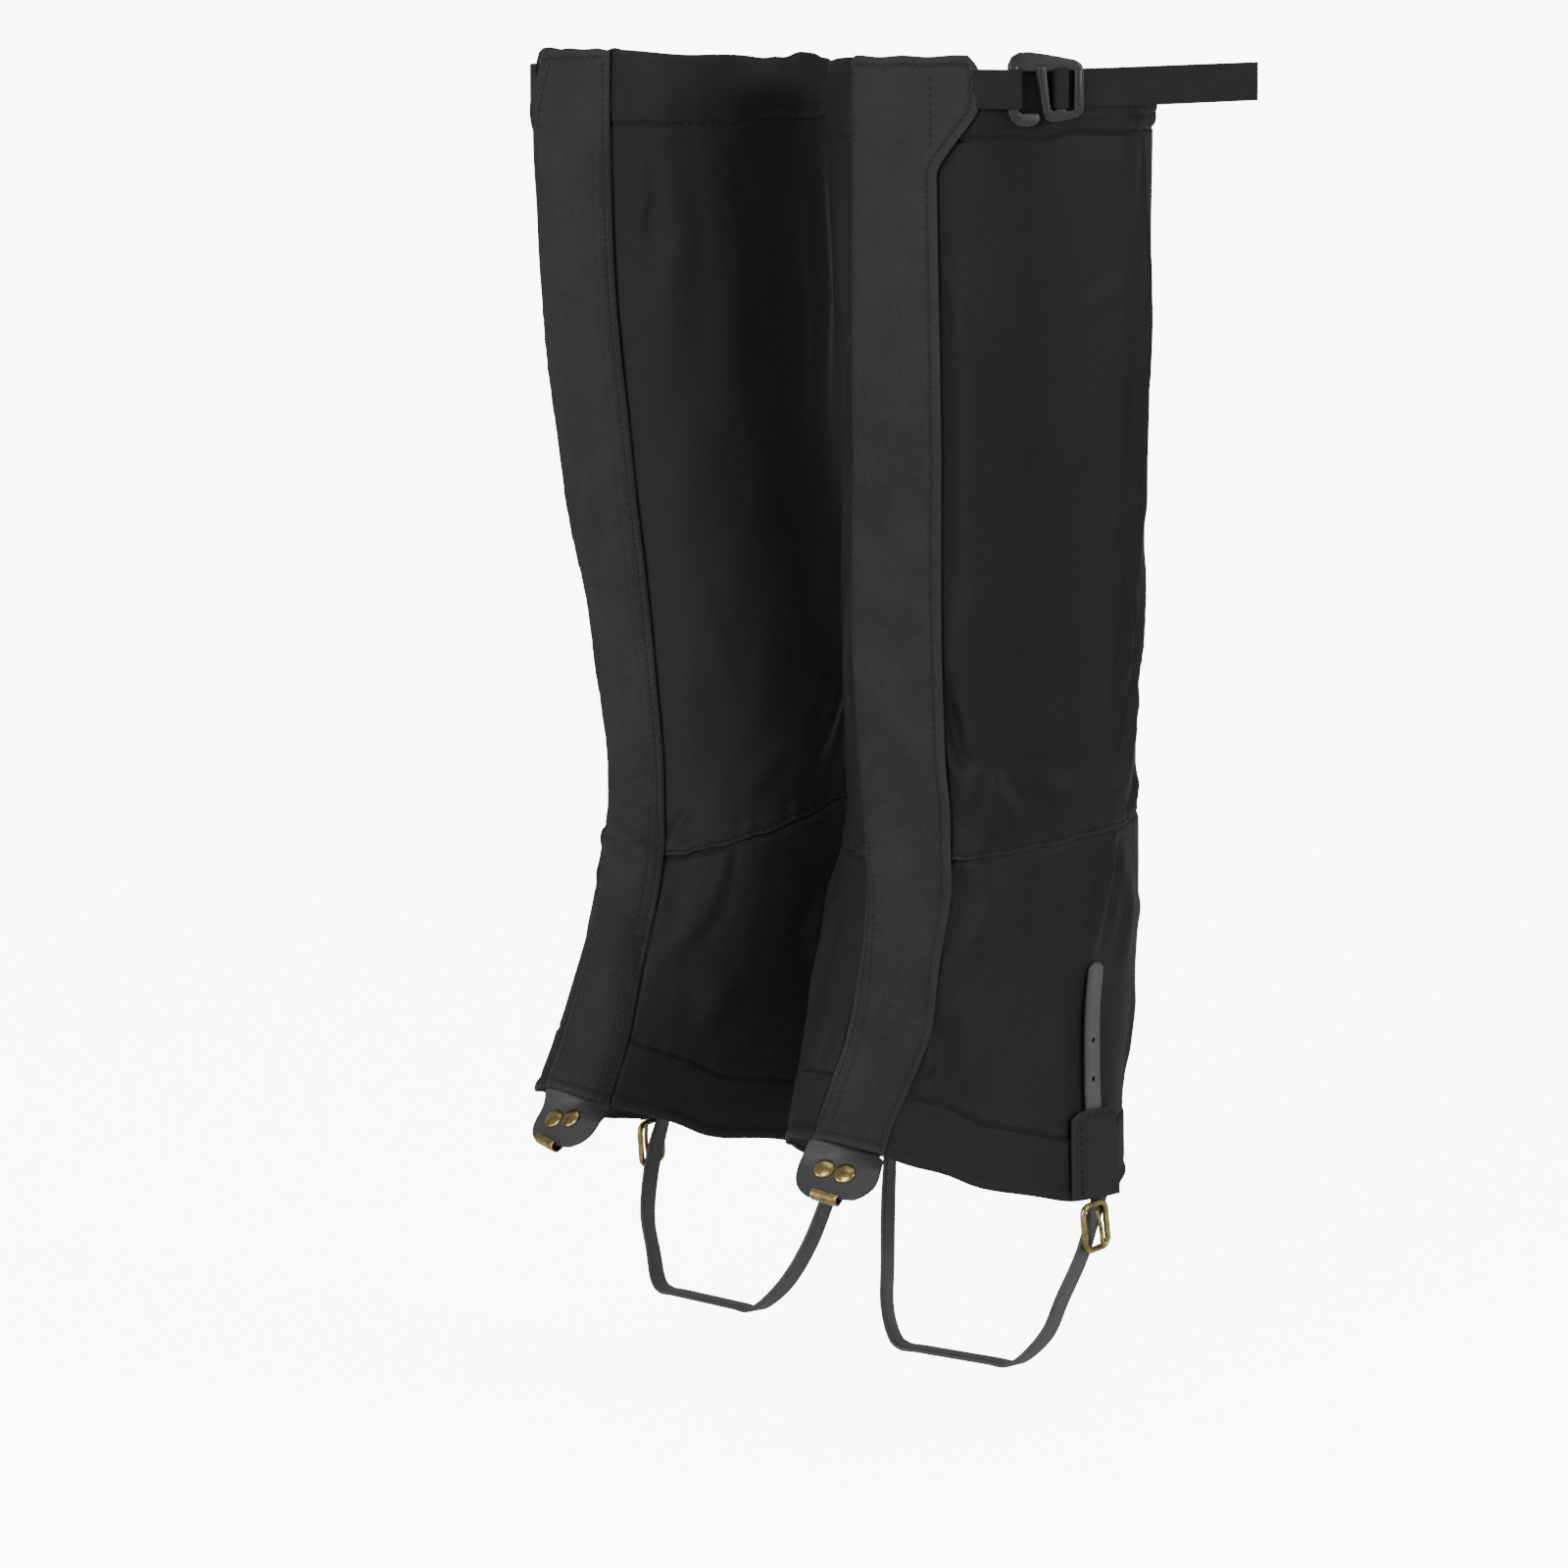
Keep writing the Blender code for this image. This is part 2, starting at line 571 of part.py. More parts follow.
def build_webbing(leg, material, collection):
    """The short loop from the flap to the hook bar, and the strap from the buckle to its free end."""
    origin, along, _, outward = surface_frame(leg, BUCKLE_ANGLE, HOLD_HEIGHT, CASING_FACE)
    half = Vector((0, 0, WEBBING_WIDTH / 2 * MM))

    def buckle_plane(points):
        """Points given along the strap and outward from the buckle's middle, on the casing's face."""
        return [origin + (along * x + outward * y) * MM for x, y in points]

    loop = [
        (-26.2, -1.6), (-23.6, 0.1), (-20.8, 2.5), (-18.4, 4.8), (-16.2, 6.0), (-14.0, 6.1), (-11.4, 6.1),
        (-9.3, 5.3), (-8.5, 3.1), (-9.3, 0.9), (-11.4, 0.2), (-15.0, -0.15), (-18.0, -1.4), (-21.5, -3.05),
        (-24.0, -4.1), (-26.2, -5.1),
    ]
    path = buckle_plane(loop)
    ribbon(f"{leg.name}_buckle_loop", path, [half] * len(path), WEBBING_WALL, material, collection,
           leg.side < 0)

    threaded = [
        (6.4, 0.05), (4.2, 0.15), (2.9, 0.9), (2.5, 3.1), (2.9, 5.2), (4.2, 6.0), (7.8, 6.0), (9.1, 5.2),
        (9.5, 3.1), (10.0, 1.9), (11.2, 1.4), (15.2, 0.75),
    ]
    path = buckle_plane(threaded)
    lift = CASING_FACE + SEAM_GAP + WEBBING_WALL + FACET_ROOM / 2
    path += [cloth_point(leg, angle, HOLD_HEIGHT, lift) for angle in TAIL_ANGLES]
    backward = Vector((-0.02 * leg.side, 1.0, 0.0)).normalized()
    leaves, pieces = path[-1], 4
    path += [leaves + backward * TAIL_LENGTH * MM * k / pieces for k in range(1, pieces + 1)]
    ribbon(f"{leg.name}_webbing_strap", path, [half] * len(path), WEBBING_WALL, material, collection,
           leg.side < 0)


# ---------------------------------------------------------------- lace tab, rivets and hook

def tab_surface(leg, across, drop, offset):
    """A point of the tab: across in millimetres from its middle, drop below the flap's edge."""
    middle_height = hem_height(leg.tab_angle) - TAB_DROP / 2
    angle = leg.tab_angle + degrees_for(leg, leg.tab_angle, middle_height, across)
    return cloth_point(leg, angle, hem_height(angle) - SEAM_GAP - drop * TAB_LEAN, offset)


def build_lace_tab(leg, leather, brass, collection):
    """The tab under the flap's bottom edge, narrowed by its round lower corners, with its two rivets."""
    straight_share, corner_share, corner_power = 0.4, 0.72, 2.4

    def place(across, up):
        drop = TAB_DROP * (1 - up)
        narrow = max(0.0, (drop / TAB_DROP - straight_share) / (1 - straight_share))
        half = TAB_WIDTH / 2 * math.sqrt(1 - corner_share * narrow**corner_power)
        return tab_surface(leg, half * (2 * across - 1), drop, TAB_FACE)

    sheet(f"{leg.name}_lace_tab", 8, 6, place, TAB_WALL, leather, collection, leg.side < 0)

    dome = [(0.0, 1.7), (2.0, 1.55), (3.5, 1.05), (RIVET_RADIUS, 0.35), (RIVET_RADIUS, 0.0), (0.0, 0.0)]
    for label, shift in (("inner", -1), ("outer", 1)):
        across = shift * RIVET_SPACING / 2
        seat = tab_surface(leg, across, RIVET_DROP, TAB_FACE + SEAM_GAP)
        outward = (seat - tab_surface(leg, across, RIVET_DROP, TAB_FACE)).normalized()
        turned(f"{leg.name}_rivet_{label}", dome, seat, outward, 12, brass, collection)


def turned(name, profile, origin, axis, steps, material, collection):
    """A solid turned about an axis from a profile of (radius, height) millimetres, its ends on the axis."""
    mesh = bpy.data.meshes.new(name)
    bm = bmesh.new()
    verts = [bm.verts.new((radius * MM, 0.0, height * MM)) for radius, height in profile]
    edges = [bm.edges.new(pair) for pair in zip(verts, verts[1:])]
    bmesh.ops.spin(bm, geom=verts + edges, cent=(0, 0, 0), axis=(0, 0, 1), angle=math.tau, steps=steps,
                   use_merge=True)
    bmesh.ops.remove_doubles(bm, verts=bm.verts, dist=1e-6)
    bmesh.ops.recalc_face_normals(bm, faces=bm.faces)
    turn = axis.to_track_quat("Z", "Y").to_matrix().to_4x4()
    bmesh.ops.transform(bm, matrix=Matrix.Translation(origin) @ turn, verts=bm.verts)
    bm.to_mesh(mesh)
    bm.free()
    return add_object(name, mesh, material, collection)


def build_lace_hook(leg, brass, collection):
    """A strip that comes down behind the tab and curls forward and up under its edge."""
    across = -1.5
    origin = tab_surface(leg, across, TAB_DROP, TAB_FACE)
    up = (tab_surface(leg, across, TAB_DROP - 3, TAB_FACE) - origin).normalized()
    outward = (tab_surface(leg, across, TAB_DROP, TAB_FACE + 1) - origin).normalized()
    along = outward.cross(up).normalized() * LACE_HOOK_WIDTH / 2 * MM
    behind = -TAB_WALL - SEAM_GAP - 1.2   # the tab is curved and the strip is flat
    profile = [
        (behind, 9.0), (behind, 4.0), (behind, 0.0), (behind + 0.1, -2.0), (behind + 1.1, -3.9), (0.9, -4.4),
        (2.6, -3.6), (3.3, -1.9), (3.1, -0.3),
    ]
    path = [origin + (outward * x + up * y) * MM for x, y in profile]
    ribbon(f"{leg.name}_lace_hook", path, [along] * len(path), LACE_HOOK_WALL, brass, collection, True)


# ---------------------------------------------------------------- the strap under the sole

class SoleRow(NamedTuple):
    """A place of the foot strap between its two patches, and how far its width leans as it runs backward."""
    out: float
    forward: float
    height: float
    lean: float


SOLE_ROUTE = (
    SoleRow(52.4, -1.5, 80.0, 0.10), SoleRow(51.0, 2.0, 68.0, 0.25), SoleRow(46.5, 9.5, 52.0, 0.45),
    SoleRow(41.0, 16.0, 38.0, 0.40), SoleRow(33.0, 20.5, 27.5, 0.16),
    SoleRow(26.0, 22.0, FOOT_STRAP_LEVEL, 0.0), SoleRow(16.0, 22.0, FOOT_STRAP_LEVEL, 0.0),
    SoleRow(-16.0, 22.0, FOOT_STRAP_LEVEL, 0.0), SoleRow(-26.0, 22.0, FOOT_STRAP_LEVEL, 0.0),
    SoleRow(-33.0, 20.5, 27.5, 0.16), SoleRow(-41.0, 15.0, 38.0, 0.40), SoleRow(-46.5, 7.5, 54.0, 0.35),
    SoleRow(-51.5, 0.5, 76.0, 0.12),
)
OUTER_HEIGHTS = (TAIL_TOP, 168.0, 150.0, 134.0, 118.0, 104.0, 93.0)
INNER_HEIGHTS = (93.0, 104.0, 116.0)
TIP_SHARES = (0.45, 0.85)    # the strap's width at its tip's first two places


def foot_strap_route(leg):
    """Places along the middle of the foot strap and the direction of its width at each."""
    face = HEM_FACE + SEAM_GAP + STRAP_WALL
    places, widths = [], []
    for height in OUTER_HEIGHTS:
        origin, along, _, _ = surface_frame(leg, SLEEVE_ANGLE, height, face)
        places.append(origin)
        widths.append(along)
    for row in SOLE_ROUTE:
        here = splayed_point(leg, row.out, row.forward, row.height)
        backward = (splayed_point(leg, row.out, row.forward - 1, row.height) - here).normalized()
        places.append(in_scene(here))
        widths.append((backward - Vector((0, 0, row.lean))).normalized())
    for height in INNER_HEIGHTS:
        origin, along, _, _ = surface_frame(leg, ANCHOR_ANGLE, height, face)
        places.append(origin)
        widths.append(-along)
    return places, widths


def build_foot_strap(leg, leather, collection):
    """The strap: down from its tip, through the outer patch, under the sole and up into the inner patch."""
    places, widths = foot_strap_route(leg)
    path = smooth_path(places, 2)
    halves = [width.normalized() * FOOT_STRAP_WIDTH / 2 * MM for width in smooth_path(widths, 2)]
    for i, share in enumerate(TIP_SHARES):
        halves[i] = halves[i] * share
    ribbon(f"{leg.name}_foot_strap", path, halves, STRAP_WALL, leather, collection, leg.side < 0)


def strap_cover(leg, name, angle, width, top, material, collection):
    """A patch sewn over the foot strap, flat at its sides and raised over the strap in its middle."""
    corner_size, corner_drop = 4.0, 2.4
    raised_half, slope = 9.4, 3.4
    low = hem_height(angle) + 0.5

    def place(across, up):
        distance = width * (across - 0.5)
        corner = corner_drop * max(0.0, (abs(distance) - width / 2 + corner_size) / corner_size) ** 2
        height = low + (top - low - corner) * up
        raised = ease((raised_half - abs(distance)) / slope)
        face = HEM_FACE + SEAM_GAP + PATCH_WALL + raised * (STRAP_WALL + SEAM_GAP + FACET_ROOM / 2)
        turn = angle + degrees_for(leg, angle, height, distance)
        return cloth_point(leg, turn, height, face)

    sheet(f"{leg.name}_{name}", 10, 4, place, PATCH_WALL, material, collection, leg.side < 0)


def wire(name, points, radius, closed, material, collection):
    """A round wire through points in the scene."""
    curve = bpy.data.curves.new(name, "CURVE")
    curve.dimensions = "3D"
    curve.bevel_depth = radius * MM
    curve.bevel_resolution = 1
    curve.use_fill_caps = not closed
    spline = curve.splines.new("POLY")
    spline.points.add(len(points) - 1)
    for control, point in zip(spline.points, points):
        control.co = (*point, 1.0)
    spline.use_cyclic_u = closed
    add_object(name, curve, material, collection)


def build_prong_buckle(leg, brass, collection):
    """A wire frame in front of the strap, under the outer patch, and the prong that rests across it."""
    lift, stand = HEM_FACE + 4.0, 0.2
    origin, along, upward, outward = surface_frame(leg, SLEEVE_ANGLE, hem_height(SLEEVE_ANGLE), lift)
    upward = (upward + Vector((0, 0, stand))).normalized()
    along = (along - upward * along.dot(upward)).normalized()

    def scene_point(x, y, z):
        return origin + (along * x + upward * y + outward * z) * MM

    outline = rounded_box(-FRAME_HALF_WIDTH, FRAME_HALF_WIDTH, FRAME_LOW, FRAME_HIGH, 3.6)
    wire(f"{leg.name}_prong_frame", [scene_point(x, y, 0.0) for x, y in outline], FRAME_WIRE, True, brass,
         collection)
    prong_route = (
        (-0.4, FRAME_HIGH - 2.0, 1.9), (-0.3, FRAME_HIGH - 6.0, 2.5), (0.0, -12.0, 2.9), (0.4, FRAME_LOW, 2.5),
    )
    wire(f"{leg.name}_prong", [scene_point(*point) for point in prong_route], PRONG_WIRE, False, brass,
         collection)


def main():
    for obj in list(bpy.data.objects):
        bpy.data.objects.remove(obj)
    collection = new_collection("leg_gaiters")
    cloth = make_material("leg_cloth", (0.022, 0.022, 0.023), 0.62)
    heavy_cloth = make_material("ankle_cloth", (0.021, 0.021, 0.021), 0.68)
    flap_cloth = make_material("flap_cloth", (0.036, 0.036, 0.034), 0.85)
    tape = make_material("closure_tape", (0.015, 0.015, 0.015), 0.95)
    webbing = make_material("webbing", (0.018, 0.018, 0.018), 0.8)
    leather = make_material("strap_leather", (0.09, 0.09, 0.092), 0.5)
    plastic = make_material("buckle_plastic", (0.045, 0.045, 0.045), 0.4)
    brass = make_material("brass", (0.55, 0.4, 0.17), 0.3, 1.0)
    for leg in LEGS:
        build_leg_cloth(leg, cloth, heavy_cloth, collection)
        build_closure_tape(leg, tape, collection)
        build_flap(leg, flap_cloth, collection)
        build_ladder_buckle(leg, plastic, collection)
        build_webbing(leg, webbing, collection)
        build_lace_tab(leg, leather, brass, collection)
        build_lace_hook(leg, brass, collection)
        build_foot_strap(leg, leather, collection)
        strap_cover(leg, "keeper_patch", SLEEVE_ANGLE, SLEEVE_WIDTH, PATCH_TOP, heavy_cloth, collection)
        strap_cover(leg, "anchor_patch", ANCHOR_ANGLE, ANCHOR_WIDTH, ANCHOR_TOP, heavy_cloth, collection)
        build_prong_buckle(leg, brass, collection)


main()
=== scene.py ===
"""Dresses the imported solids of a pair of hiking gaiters: cloth, sewing, straps and brass, in metres.

Heights in the tables are millimetres above the ground, 530 below the origin. Angles are degrees round the leg:
0 is forward, 90 is outward, 180 is backward and -90 is inward. The left gaiter lies at +X and the pair faces -Y.
"""
import logging
import math
from dataclasses import dataclass
from enum import Enum

import bpy
import numpy as np
from mathutils import Matrix, Vector


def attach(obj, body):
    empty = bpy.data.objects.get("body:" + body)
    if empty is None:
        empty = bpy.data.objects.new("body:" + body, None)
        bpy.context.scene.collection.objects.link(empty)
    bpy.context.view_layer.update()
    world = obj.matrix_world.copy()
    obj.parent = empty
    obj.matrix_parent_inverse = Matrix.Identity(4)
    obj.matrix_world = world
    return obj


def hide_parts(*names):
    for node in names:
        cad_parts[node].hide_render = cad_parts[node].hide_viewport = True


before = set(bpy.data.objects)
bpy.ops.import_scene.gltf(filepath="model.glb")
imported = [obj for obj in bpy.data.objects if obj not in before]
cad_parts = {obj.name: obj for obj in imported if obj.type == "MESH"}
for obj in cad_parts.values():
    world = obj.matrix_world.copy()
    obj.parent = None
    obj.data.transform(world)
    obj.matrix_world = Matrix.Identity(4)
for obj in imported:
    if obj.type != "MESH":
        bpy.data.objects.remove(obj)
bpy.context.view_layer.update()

MM = 0.001
HOLD_HEIGHT = 530.0
BODY = "root"
CLOTH_UV = "cloth_mm"
RIM = "rim"
LOG = logging.getLogger("gaiters")

Array = np.ndarray
Surface = tuple[np.ndarray, np.ndarray]
Piece = bpy.types.Object
Material = bpy.types.Material
Row = tuple[float, ...]
Outline = tuple[tuple[float, float], ...]
Spot = tuple[float, float, float]


# -------- numbers along curves

class Track:
    """A smooth curve through a table of values."""

    def __init__(self, places: Row, values: Row) -> None:
        """Stores the table and its slopes.

        Args:
            places: where the curve's values are given.
            values: its value at each.
        """
        self.xs, self.ys = np.asarray(places, float), np.asarray(values, float)
        index = np.arange(len(self.xs))
        low, high = np.maximum(index - 1, 0), np.minimum(index + 1, len(self.xs) - 1)
        self.slopes = (self.ys[high] - self.ys[low]) / (self.xs[high] - self.xs[low])

    def __call__(self, x: Array) -> Array:
        """The curve's value at each place, which is held inside the table.

        Args:
            x: places along it.

        Returns:
            The values.
        """
        x = np.clip(np.asarray(x, float), self.xs[0], self.xs[-1])
        i = np.clip(np.searchsorted(self.xs, x, side="right") - 1, 0, len(self.xs) - 2)
        step = self.xs[i + 1] - self.xs[i]
        t = (x - self.xs[i]) / step
        return (
            (2 * t**3 - 3 * t**2 + 1) * self.ys[i] + (t**3 - 2 * t**2 + t) * step * self.slopes[i]
            + (3 * t**2 - 2 * t**3) * self.ys[i + 1] + (t**3 - t**2) * step * self.slopes[i + 1]
        )


def ease(t: Array) -> Array:
    """0 below 0, 1 above 1 and a smooth step between."""
    t = np.clip(t, 0.0, 1.0)
    return t * t * (3 - 2 * t)


def bell(x: Array, half_width: float) -> Array:
    """1 at 0, falling smoothly to nothing past the half-width."""
    return np.exp(-((x / half_width) ** 2))


def wrapped(angle: Array) -> Array:
    """The same angle, between -180 and 180."""
    return (angle + 180) % 360 - 180


def unit(vectors: Array) -> Array:
    """The same directions, each of length 1."""
    return vectors / np.maximum(np.linalg.norm(vectors, axis=-1, keepdims=True), 1e-12)


def run_along(path: Array) -> Array:
    """Millimetres from a path's start to each of its places, which are in metres."""
    return np.concatenate([[0], np.cumsum(np.linalg.norm(np.diff(path, axis=0), axis=1))]) / MM


def read_at(where: Array, run: Array, rows: Array) -> Array:
    """Places or directions read from rows at lengths along their run."""
    return np.stack([np.interp(where, run, rows[:, k]) for k in range(3)], -1)


def dense_path(points: list[Row], per_span: int) -> Array:
    """Points on a smooth curve through the given ones.

    Args:
        points: the places that the curve goes through.
        per_span: how many points each span gets.

    Returns:
        One row for each point of the curve.
    """
    p = np.asarray(points, float)
    neighbours = np.vstack([p[:1], p[:-2]]), p[:-1], p[1:], np.vstack([p[2:], p[-1:]])
    before, a, b, after = (row[:, None] for row in neighbours)
    t = (np.arange(per_span) / per_span)[:, None]
    curve = 0.5 * (2 * a + (b - before) * t + (2 * before - 5 * a + 4 * b - after) * t**2
                   + (3 * a - before - 3 * b + after) * t**3)
    return np.vstack([curve.reshape(-1, p.shape[1]), p[-1:]])


# -------- the form of the legs

def section_tracks(table: str) -> list[Track]:
    """Curves through a table whose sections each begin with their height.

    Args:
        table: the sections, parted by bars or line ends.

    Returns:
        One curve for each column.
    """
    sections = table.strip().replace("\n", "|").split("|")
    heights, *columns = zip(*([float(word) for word in section.split()] for section in sections))
    return [Track(heights, column) for column in columns]


# Of each section: height, middle outward and forward, half width, reach to the front and to the back, taper.
SECTION_OUT, SECTION_FORWARD, SECTION_HALF, SECTION_FRONT, SECTION_BACK, SECTION_TAPER = section_tracks("""
85 69.5 3 50 122 49.5 0.22  |  100 69 3 50 121.5 50 0.22  |  115 67.2 3 50 117.5 53 0.22
130 65.5 3 50 111 57.5 0.21  |  145 64.1 3 50.5 103.3 65.5 0.19  |  160 63.3 3 51 95.8 72.5 0.16
175 63.5 3 51.5 88 75 0.13  |  190 64.1 3 52 79.8 75 0.1  |  205 65.3 3 53 71.5 72.5 0.07
220 67.3 3 53.5 64.6 68.5 0.04  |  235 69.4 3 54 60.6 63.5 0.02  |  250 70.9 3 54.5 59 61 0
270 71.5 3.5 55 59.5 59.5 0  |  300 73 5.5 56.5 60.5 60.5 0  |  330 75.9 8.5 57.5 61 61 0
360 79.3 11.5 58 61 61 0  |  390 82.3 14.4 58.5 60.5 60.5 0  |  420 84.2 16.8 59.5 61.5 61.5 0
450 84.9 18.3 60.5 63 63 0  |  507 85.5 20.2 61.5 64 64 0  |  540 85.4 20.3 61 64 64 0
""")
HEM_TRACK = Track((0, 11, 22, 34, 45, 53, 60, 68, 76, 86, 102, 127, 155, 180),
                  (126.2, 125.2, 122.8, 119, 114.2, 110, 104.5, 99.5, 95.5, 92, 92, 96, 99, 100))
EXTENSION_START = 498.0
EXTENSION_TRACK = Track((498, 502, 512, 521, 524, 536, 539.5, 543), (0, 1.6, 8.3, 14.2, 14.9, 14.9, 13.8, 11.0))
FLAP_HEIGHTS = (110, 125, 145, 165, 190, 215, 238, 262, 295, 335, 400, 450, 500, 540)

ANKLE_OUT, ANKLE_FORWARD = 70.0, 2.0
SPLAY_TOP, SPLAY_DEPTH = 270.0, 120.0
SETTLE_ROUNDS = 4
MM_PER_DEGREE = 1.05
HOLD = np.array((0.0, 0.0, HOLD_HEIGHT))
RIM_REACH = 1.6
THREAD_RISE = 0.1

TOP_EDGE = 536.5
CASING_LOW = 513.0
HEM_DEPTH, INNER_RISE = 25.0, 4.2
ANKLE_SEAM, BACK_RISE = 238.0, 6.0
FLAP_TOP, FLAP_HEM_STEP = 539.5, 0.4
UNDERLAP, FLAP_LAP, FRONT_GAP = 36.0, 5.0, 3.0
FLAP_FACE, FLAP_FACE_ON_CASING = 4.7, 3.5
TAPE_FACE = 2.1
HEM_FACE = 0.8
CASING_FACE = 0.9


def off_line(line: Outline, angle: Array, height: Array) -> tuple[Array, Array, Array]:
    """Where places of the leg lie beside a line.

    Args:
        line: the (angle, height) places that it goes through.
        angle: degrees round the leg.
        height: millimetres above the ground.

    Returns:
        Millimetres to the line, its side as -1 or 1, and the share of the line passed there.
    """
    shape = np.broadcast(angle, height).shape
    steps = [math.hypot((b[0] - a[0]) * MM_PER_DEGREE, b[1] - a[1]) for a, b in zip(line, line[1:])]
    nearest, side, share, run = np.full(shape, 1e9), np.zeros(shape), np.zeros(shape), 0.0
    for (a0, h0), (a1, h1), step in zip(line, line[1:], steps):
        x, y = wrapped(angle - a0) * MM_PER_DEGREE, height - h0
        dx, dy = (a1 - a0) * MM_PER_DEGREE, h1 - h0
        t = np.clip((x * dx + y * dy) / (dx * dx + dy * dy), 0.0, 1.0)
        ex, ey = x - t * dx, y - t * dy
        away = np.hypot(ex, ey)
        closer = away < nearest
        nearest = np.where(closer, away, nearest)
        side = np.where(closer, np.sign(dx * ey - dy * ex), side)
        share = np.where(closer, (run + t * step) / sum(steps), share)
        run += step
    return nearest, side, share


@dataclass(frozen=True)
class Crease:
    """A soft ridge in the cloth, or a trough where rise is negative, through (angle, height) places."""
    places: Outline
    rise: float
    half_width: float
    lean: float = 0.0

    def lift(self, angle: Array, height: Array) -> Array:
        """Millimetres that the crease lifts the cloth, with a shallow trough on either side.

        Args:
            angle: degrees round the leg.
            height: millimetres above the ground.

        Returns:
            Millimetres outward at each place.
        """
        nearest, side, share = off_line(self.places, angle, height)
        reach = self.half_width * (1 + self.lean * side)
        swell = bell(nearest, reach) - 0.28 * bell(nearest - 1.8 * reach, 0.7 * self.half_width)
        return self.rise * swell * (0.25 + 0.75 * ease(np.minimum(share, 1 - share) / 0.3))


def creases(table: str) -> tuple[Crease, ...]:
    """Creases from lines that give angles and heights in turn, a bar, then rise, half-width and lean.

    Args:
        table: one line for each crease.

    Returns:
        The creases.
    """
    made = []
    for line in table.strip().splitlines():
        path, form = ([float(word) for word in part.split()] for part in line.split("|"))
        made.append(Crease(tuple(zip(path[::2], path[1::2])), *form))
    return tuple(made)


BASE_FOLDS = (
    (((102, 505), (110, 440), (112, 390), (107, 330), (105, 258)), 1.8, 11.0),
    (((124, 335), (115, 295), (108, 262), (98, 236), (91, 205), (89, 186)), 1.8, 10.0),
    (((38, 330), (34, 295), (37, 266), (50, 248)), 1.6, 10.0),
    (((42, 231), (48, 216), (47, 202), (43, 188)), 2.0, 10.0),
    (((47, 168), (51, 148)), 2.0, 10.0),
    (((-112, 345), (-98, 300), (-76, 258)), 1.7, 11.0),
    (((-56, 216), (-62, 192), (-58, 168)), 1.6, 11.0),
    (((176, 470), (182, 400), (178, 340)), 1.5, 12.0),
    (((205, 318), (186, 285), (158, 262)), -1.8, 11.0),
    (((214, 282), (190, 258), (165, 246)), 1.8, 9.0),
    (((200, 222), (178, 206), (150, 196)), 1.6, 10.0),
    (((228, 420), (236, 372), (232, 320)), 1.3, 12.0),
)

BACK_CREASES = creases("""
148 268  166 259  186 262  205 275 | 2.2 4 0.3
155 291  176 280  197 286 | -1.8 3.6 -0.2
140 249  156 241  172 244 | 1.7 3.4 0.2
188 252  206 246  226 252 | 1.8 3.6 -0.3
168 500  171 462  166 420  170 380 | 1.6 5.5 0.3
193 492  198 450  194 405 | 1.3 5 -0.3
214 505  221 470  226 430 | 1.4 4.8 0.2
146 420  152 385  149 345  158 312 | 1.8 5 -0.2
212 352  203 325  209 300 | 1.6 4.4 0.2
238 300  229 284  222 262 | 1.6 3.8 0.2
176 330  186 318  198 322 | 1.1 4 0.2
""")
BACK_LOW_CREASES = creases("""
150 224  170 216  192 220  210 231 | 2 4.2 0.3
146 200  165 193  184 197 | 1.7 4.4 -0.2
196 205  214 197  232 206 | 1.6 4 0.2
160 178  176 160  172 142 | 1.4 4.6 0.2
206 176  199 158  205 140 | 1.3 4.2 -0.2
128 172  133 152  129 134 | 1.3 4.4 0.2
""")
LEFT_CREASES = creases("""
113 509  110.5 487  109 450  108.5 412  109 373  107 335  105 315  103.5 296  100 256 | 3.4 2.5 0.4
107 500  103 470  102 435  103 395  101 350  96 312 | -1.1 3.2 -0.2
124.5 329  113 298  111 283  107 256 | 2.6 3.2 -0.3
119 316  107 290  103 268  98 252 | -1.5 3 0.2
78 443  88 450  99 456 | 0.8 4
29 462  31 450  33 432 | 1 2.8 0.3
30 500  29.5 452  29 396  30 338  31 300 | -1.5 4
28 300  31 284  34 271  42 262 | -3 3.2 0.2
40 268  38 262  35 250 | 1.9 2.8 0.2
45 267  50 257  56 247 | 1.8 3 -0.2
126 260  120 251  111 243 | 2.2 2.6 0.2
64 262  74 256  83 257 | 0.9 4
60 505  57 470  60 430  56 380 | 0.6 7 0.2
84 372  80 330  86 290 | 0.8 6.5 -0.2
52 345  48 318  54 292 | -0.7 6
-24 500  -27 460  -23 415 | 1.1 3 0.2
-32 440  -36 400  -31 350 | 1.1 4 0.2
-26 335  -34 300  -30 265 | 1.3 4.2 -0.3
-62 300  -50 275  -40 252 | 1.6 4 0.3
-78 286  -70 266  -74 250 | -1.4 4
-52 500  -60 450  -56 400 | 1 5.5 0.2
-96 505  -103 460  -98 405  -104 360 | 1.5 5 -0.2
""")
LEFT_LOW_CREASES = creases("""
33 236  36 224  41 212  40 200  37 188 | -2.2 3.8 0.2
45 230  50 219  51 208  49 197 | 1.5 3.6 0.3
58 231  58.5 215  60.5 197 | 0.7 3.6 -0.2
101 242  98 222  94 203  91 186 | 2.4 2.9 0.35
107 236  106 216  101 196 | -1.6 3.4 -0.2
80 170  80.5 158  83 138 | 1 4.2
41 172  45 161  47 151  43 143 | -2.6 3.4 0.3
54 170  58 158  57 146 | 0.8 4.2 0.2
-6 205  1 188  5 172 | -1.3 4 0.2
-20 205  -22 190  -17 172 | -1.8 4.6 0.2
-30 216  -33 192  -28 165 | 1.5 4 0.2
-9 178  -6 164  -9 152 | 1.1 3.6 -0.2
-50 222  -57 200  -52 175 | 1.7 4.4 -0.3
-78 226  -70 207  -76 186 | -1.4 4.2
112 225  118 205  113 180 | 1.5 4.4 0.2
66 214  70 200  68 186 | 0.8 4.4 0.2
""")
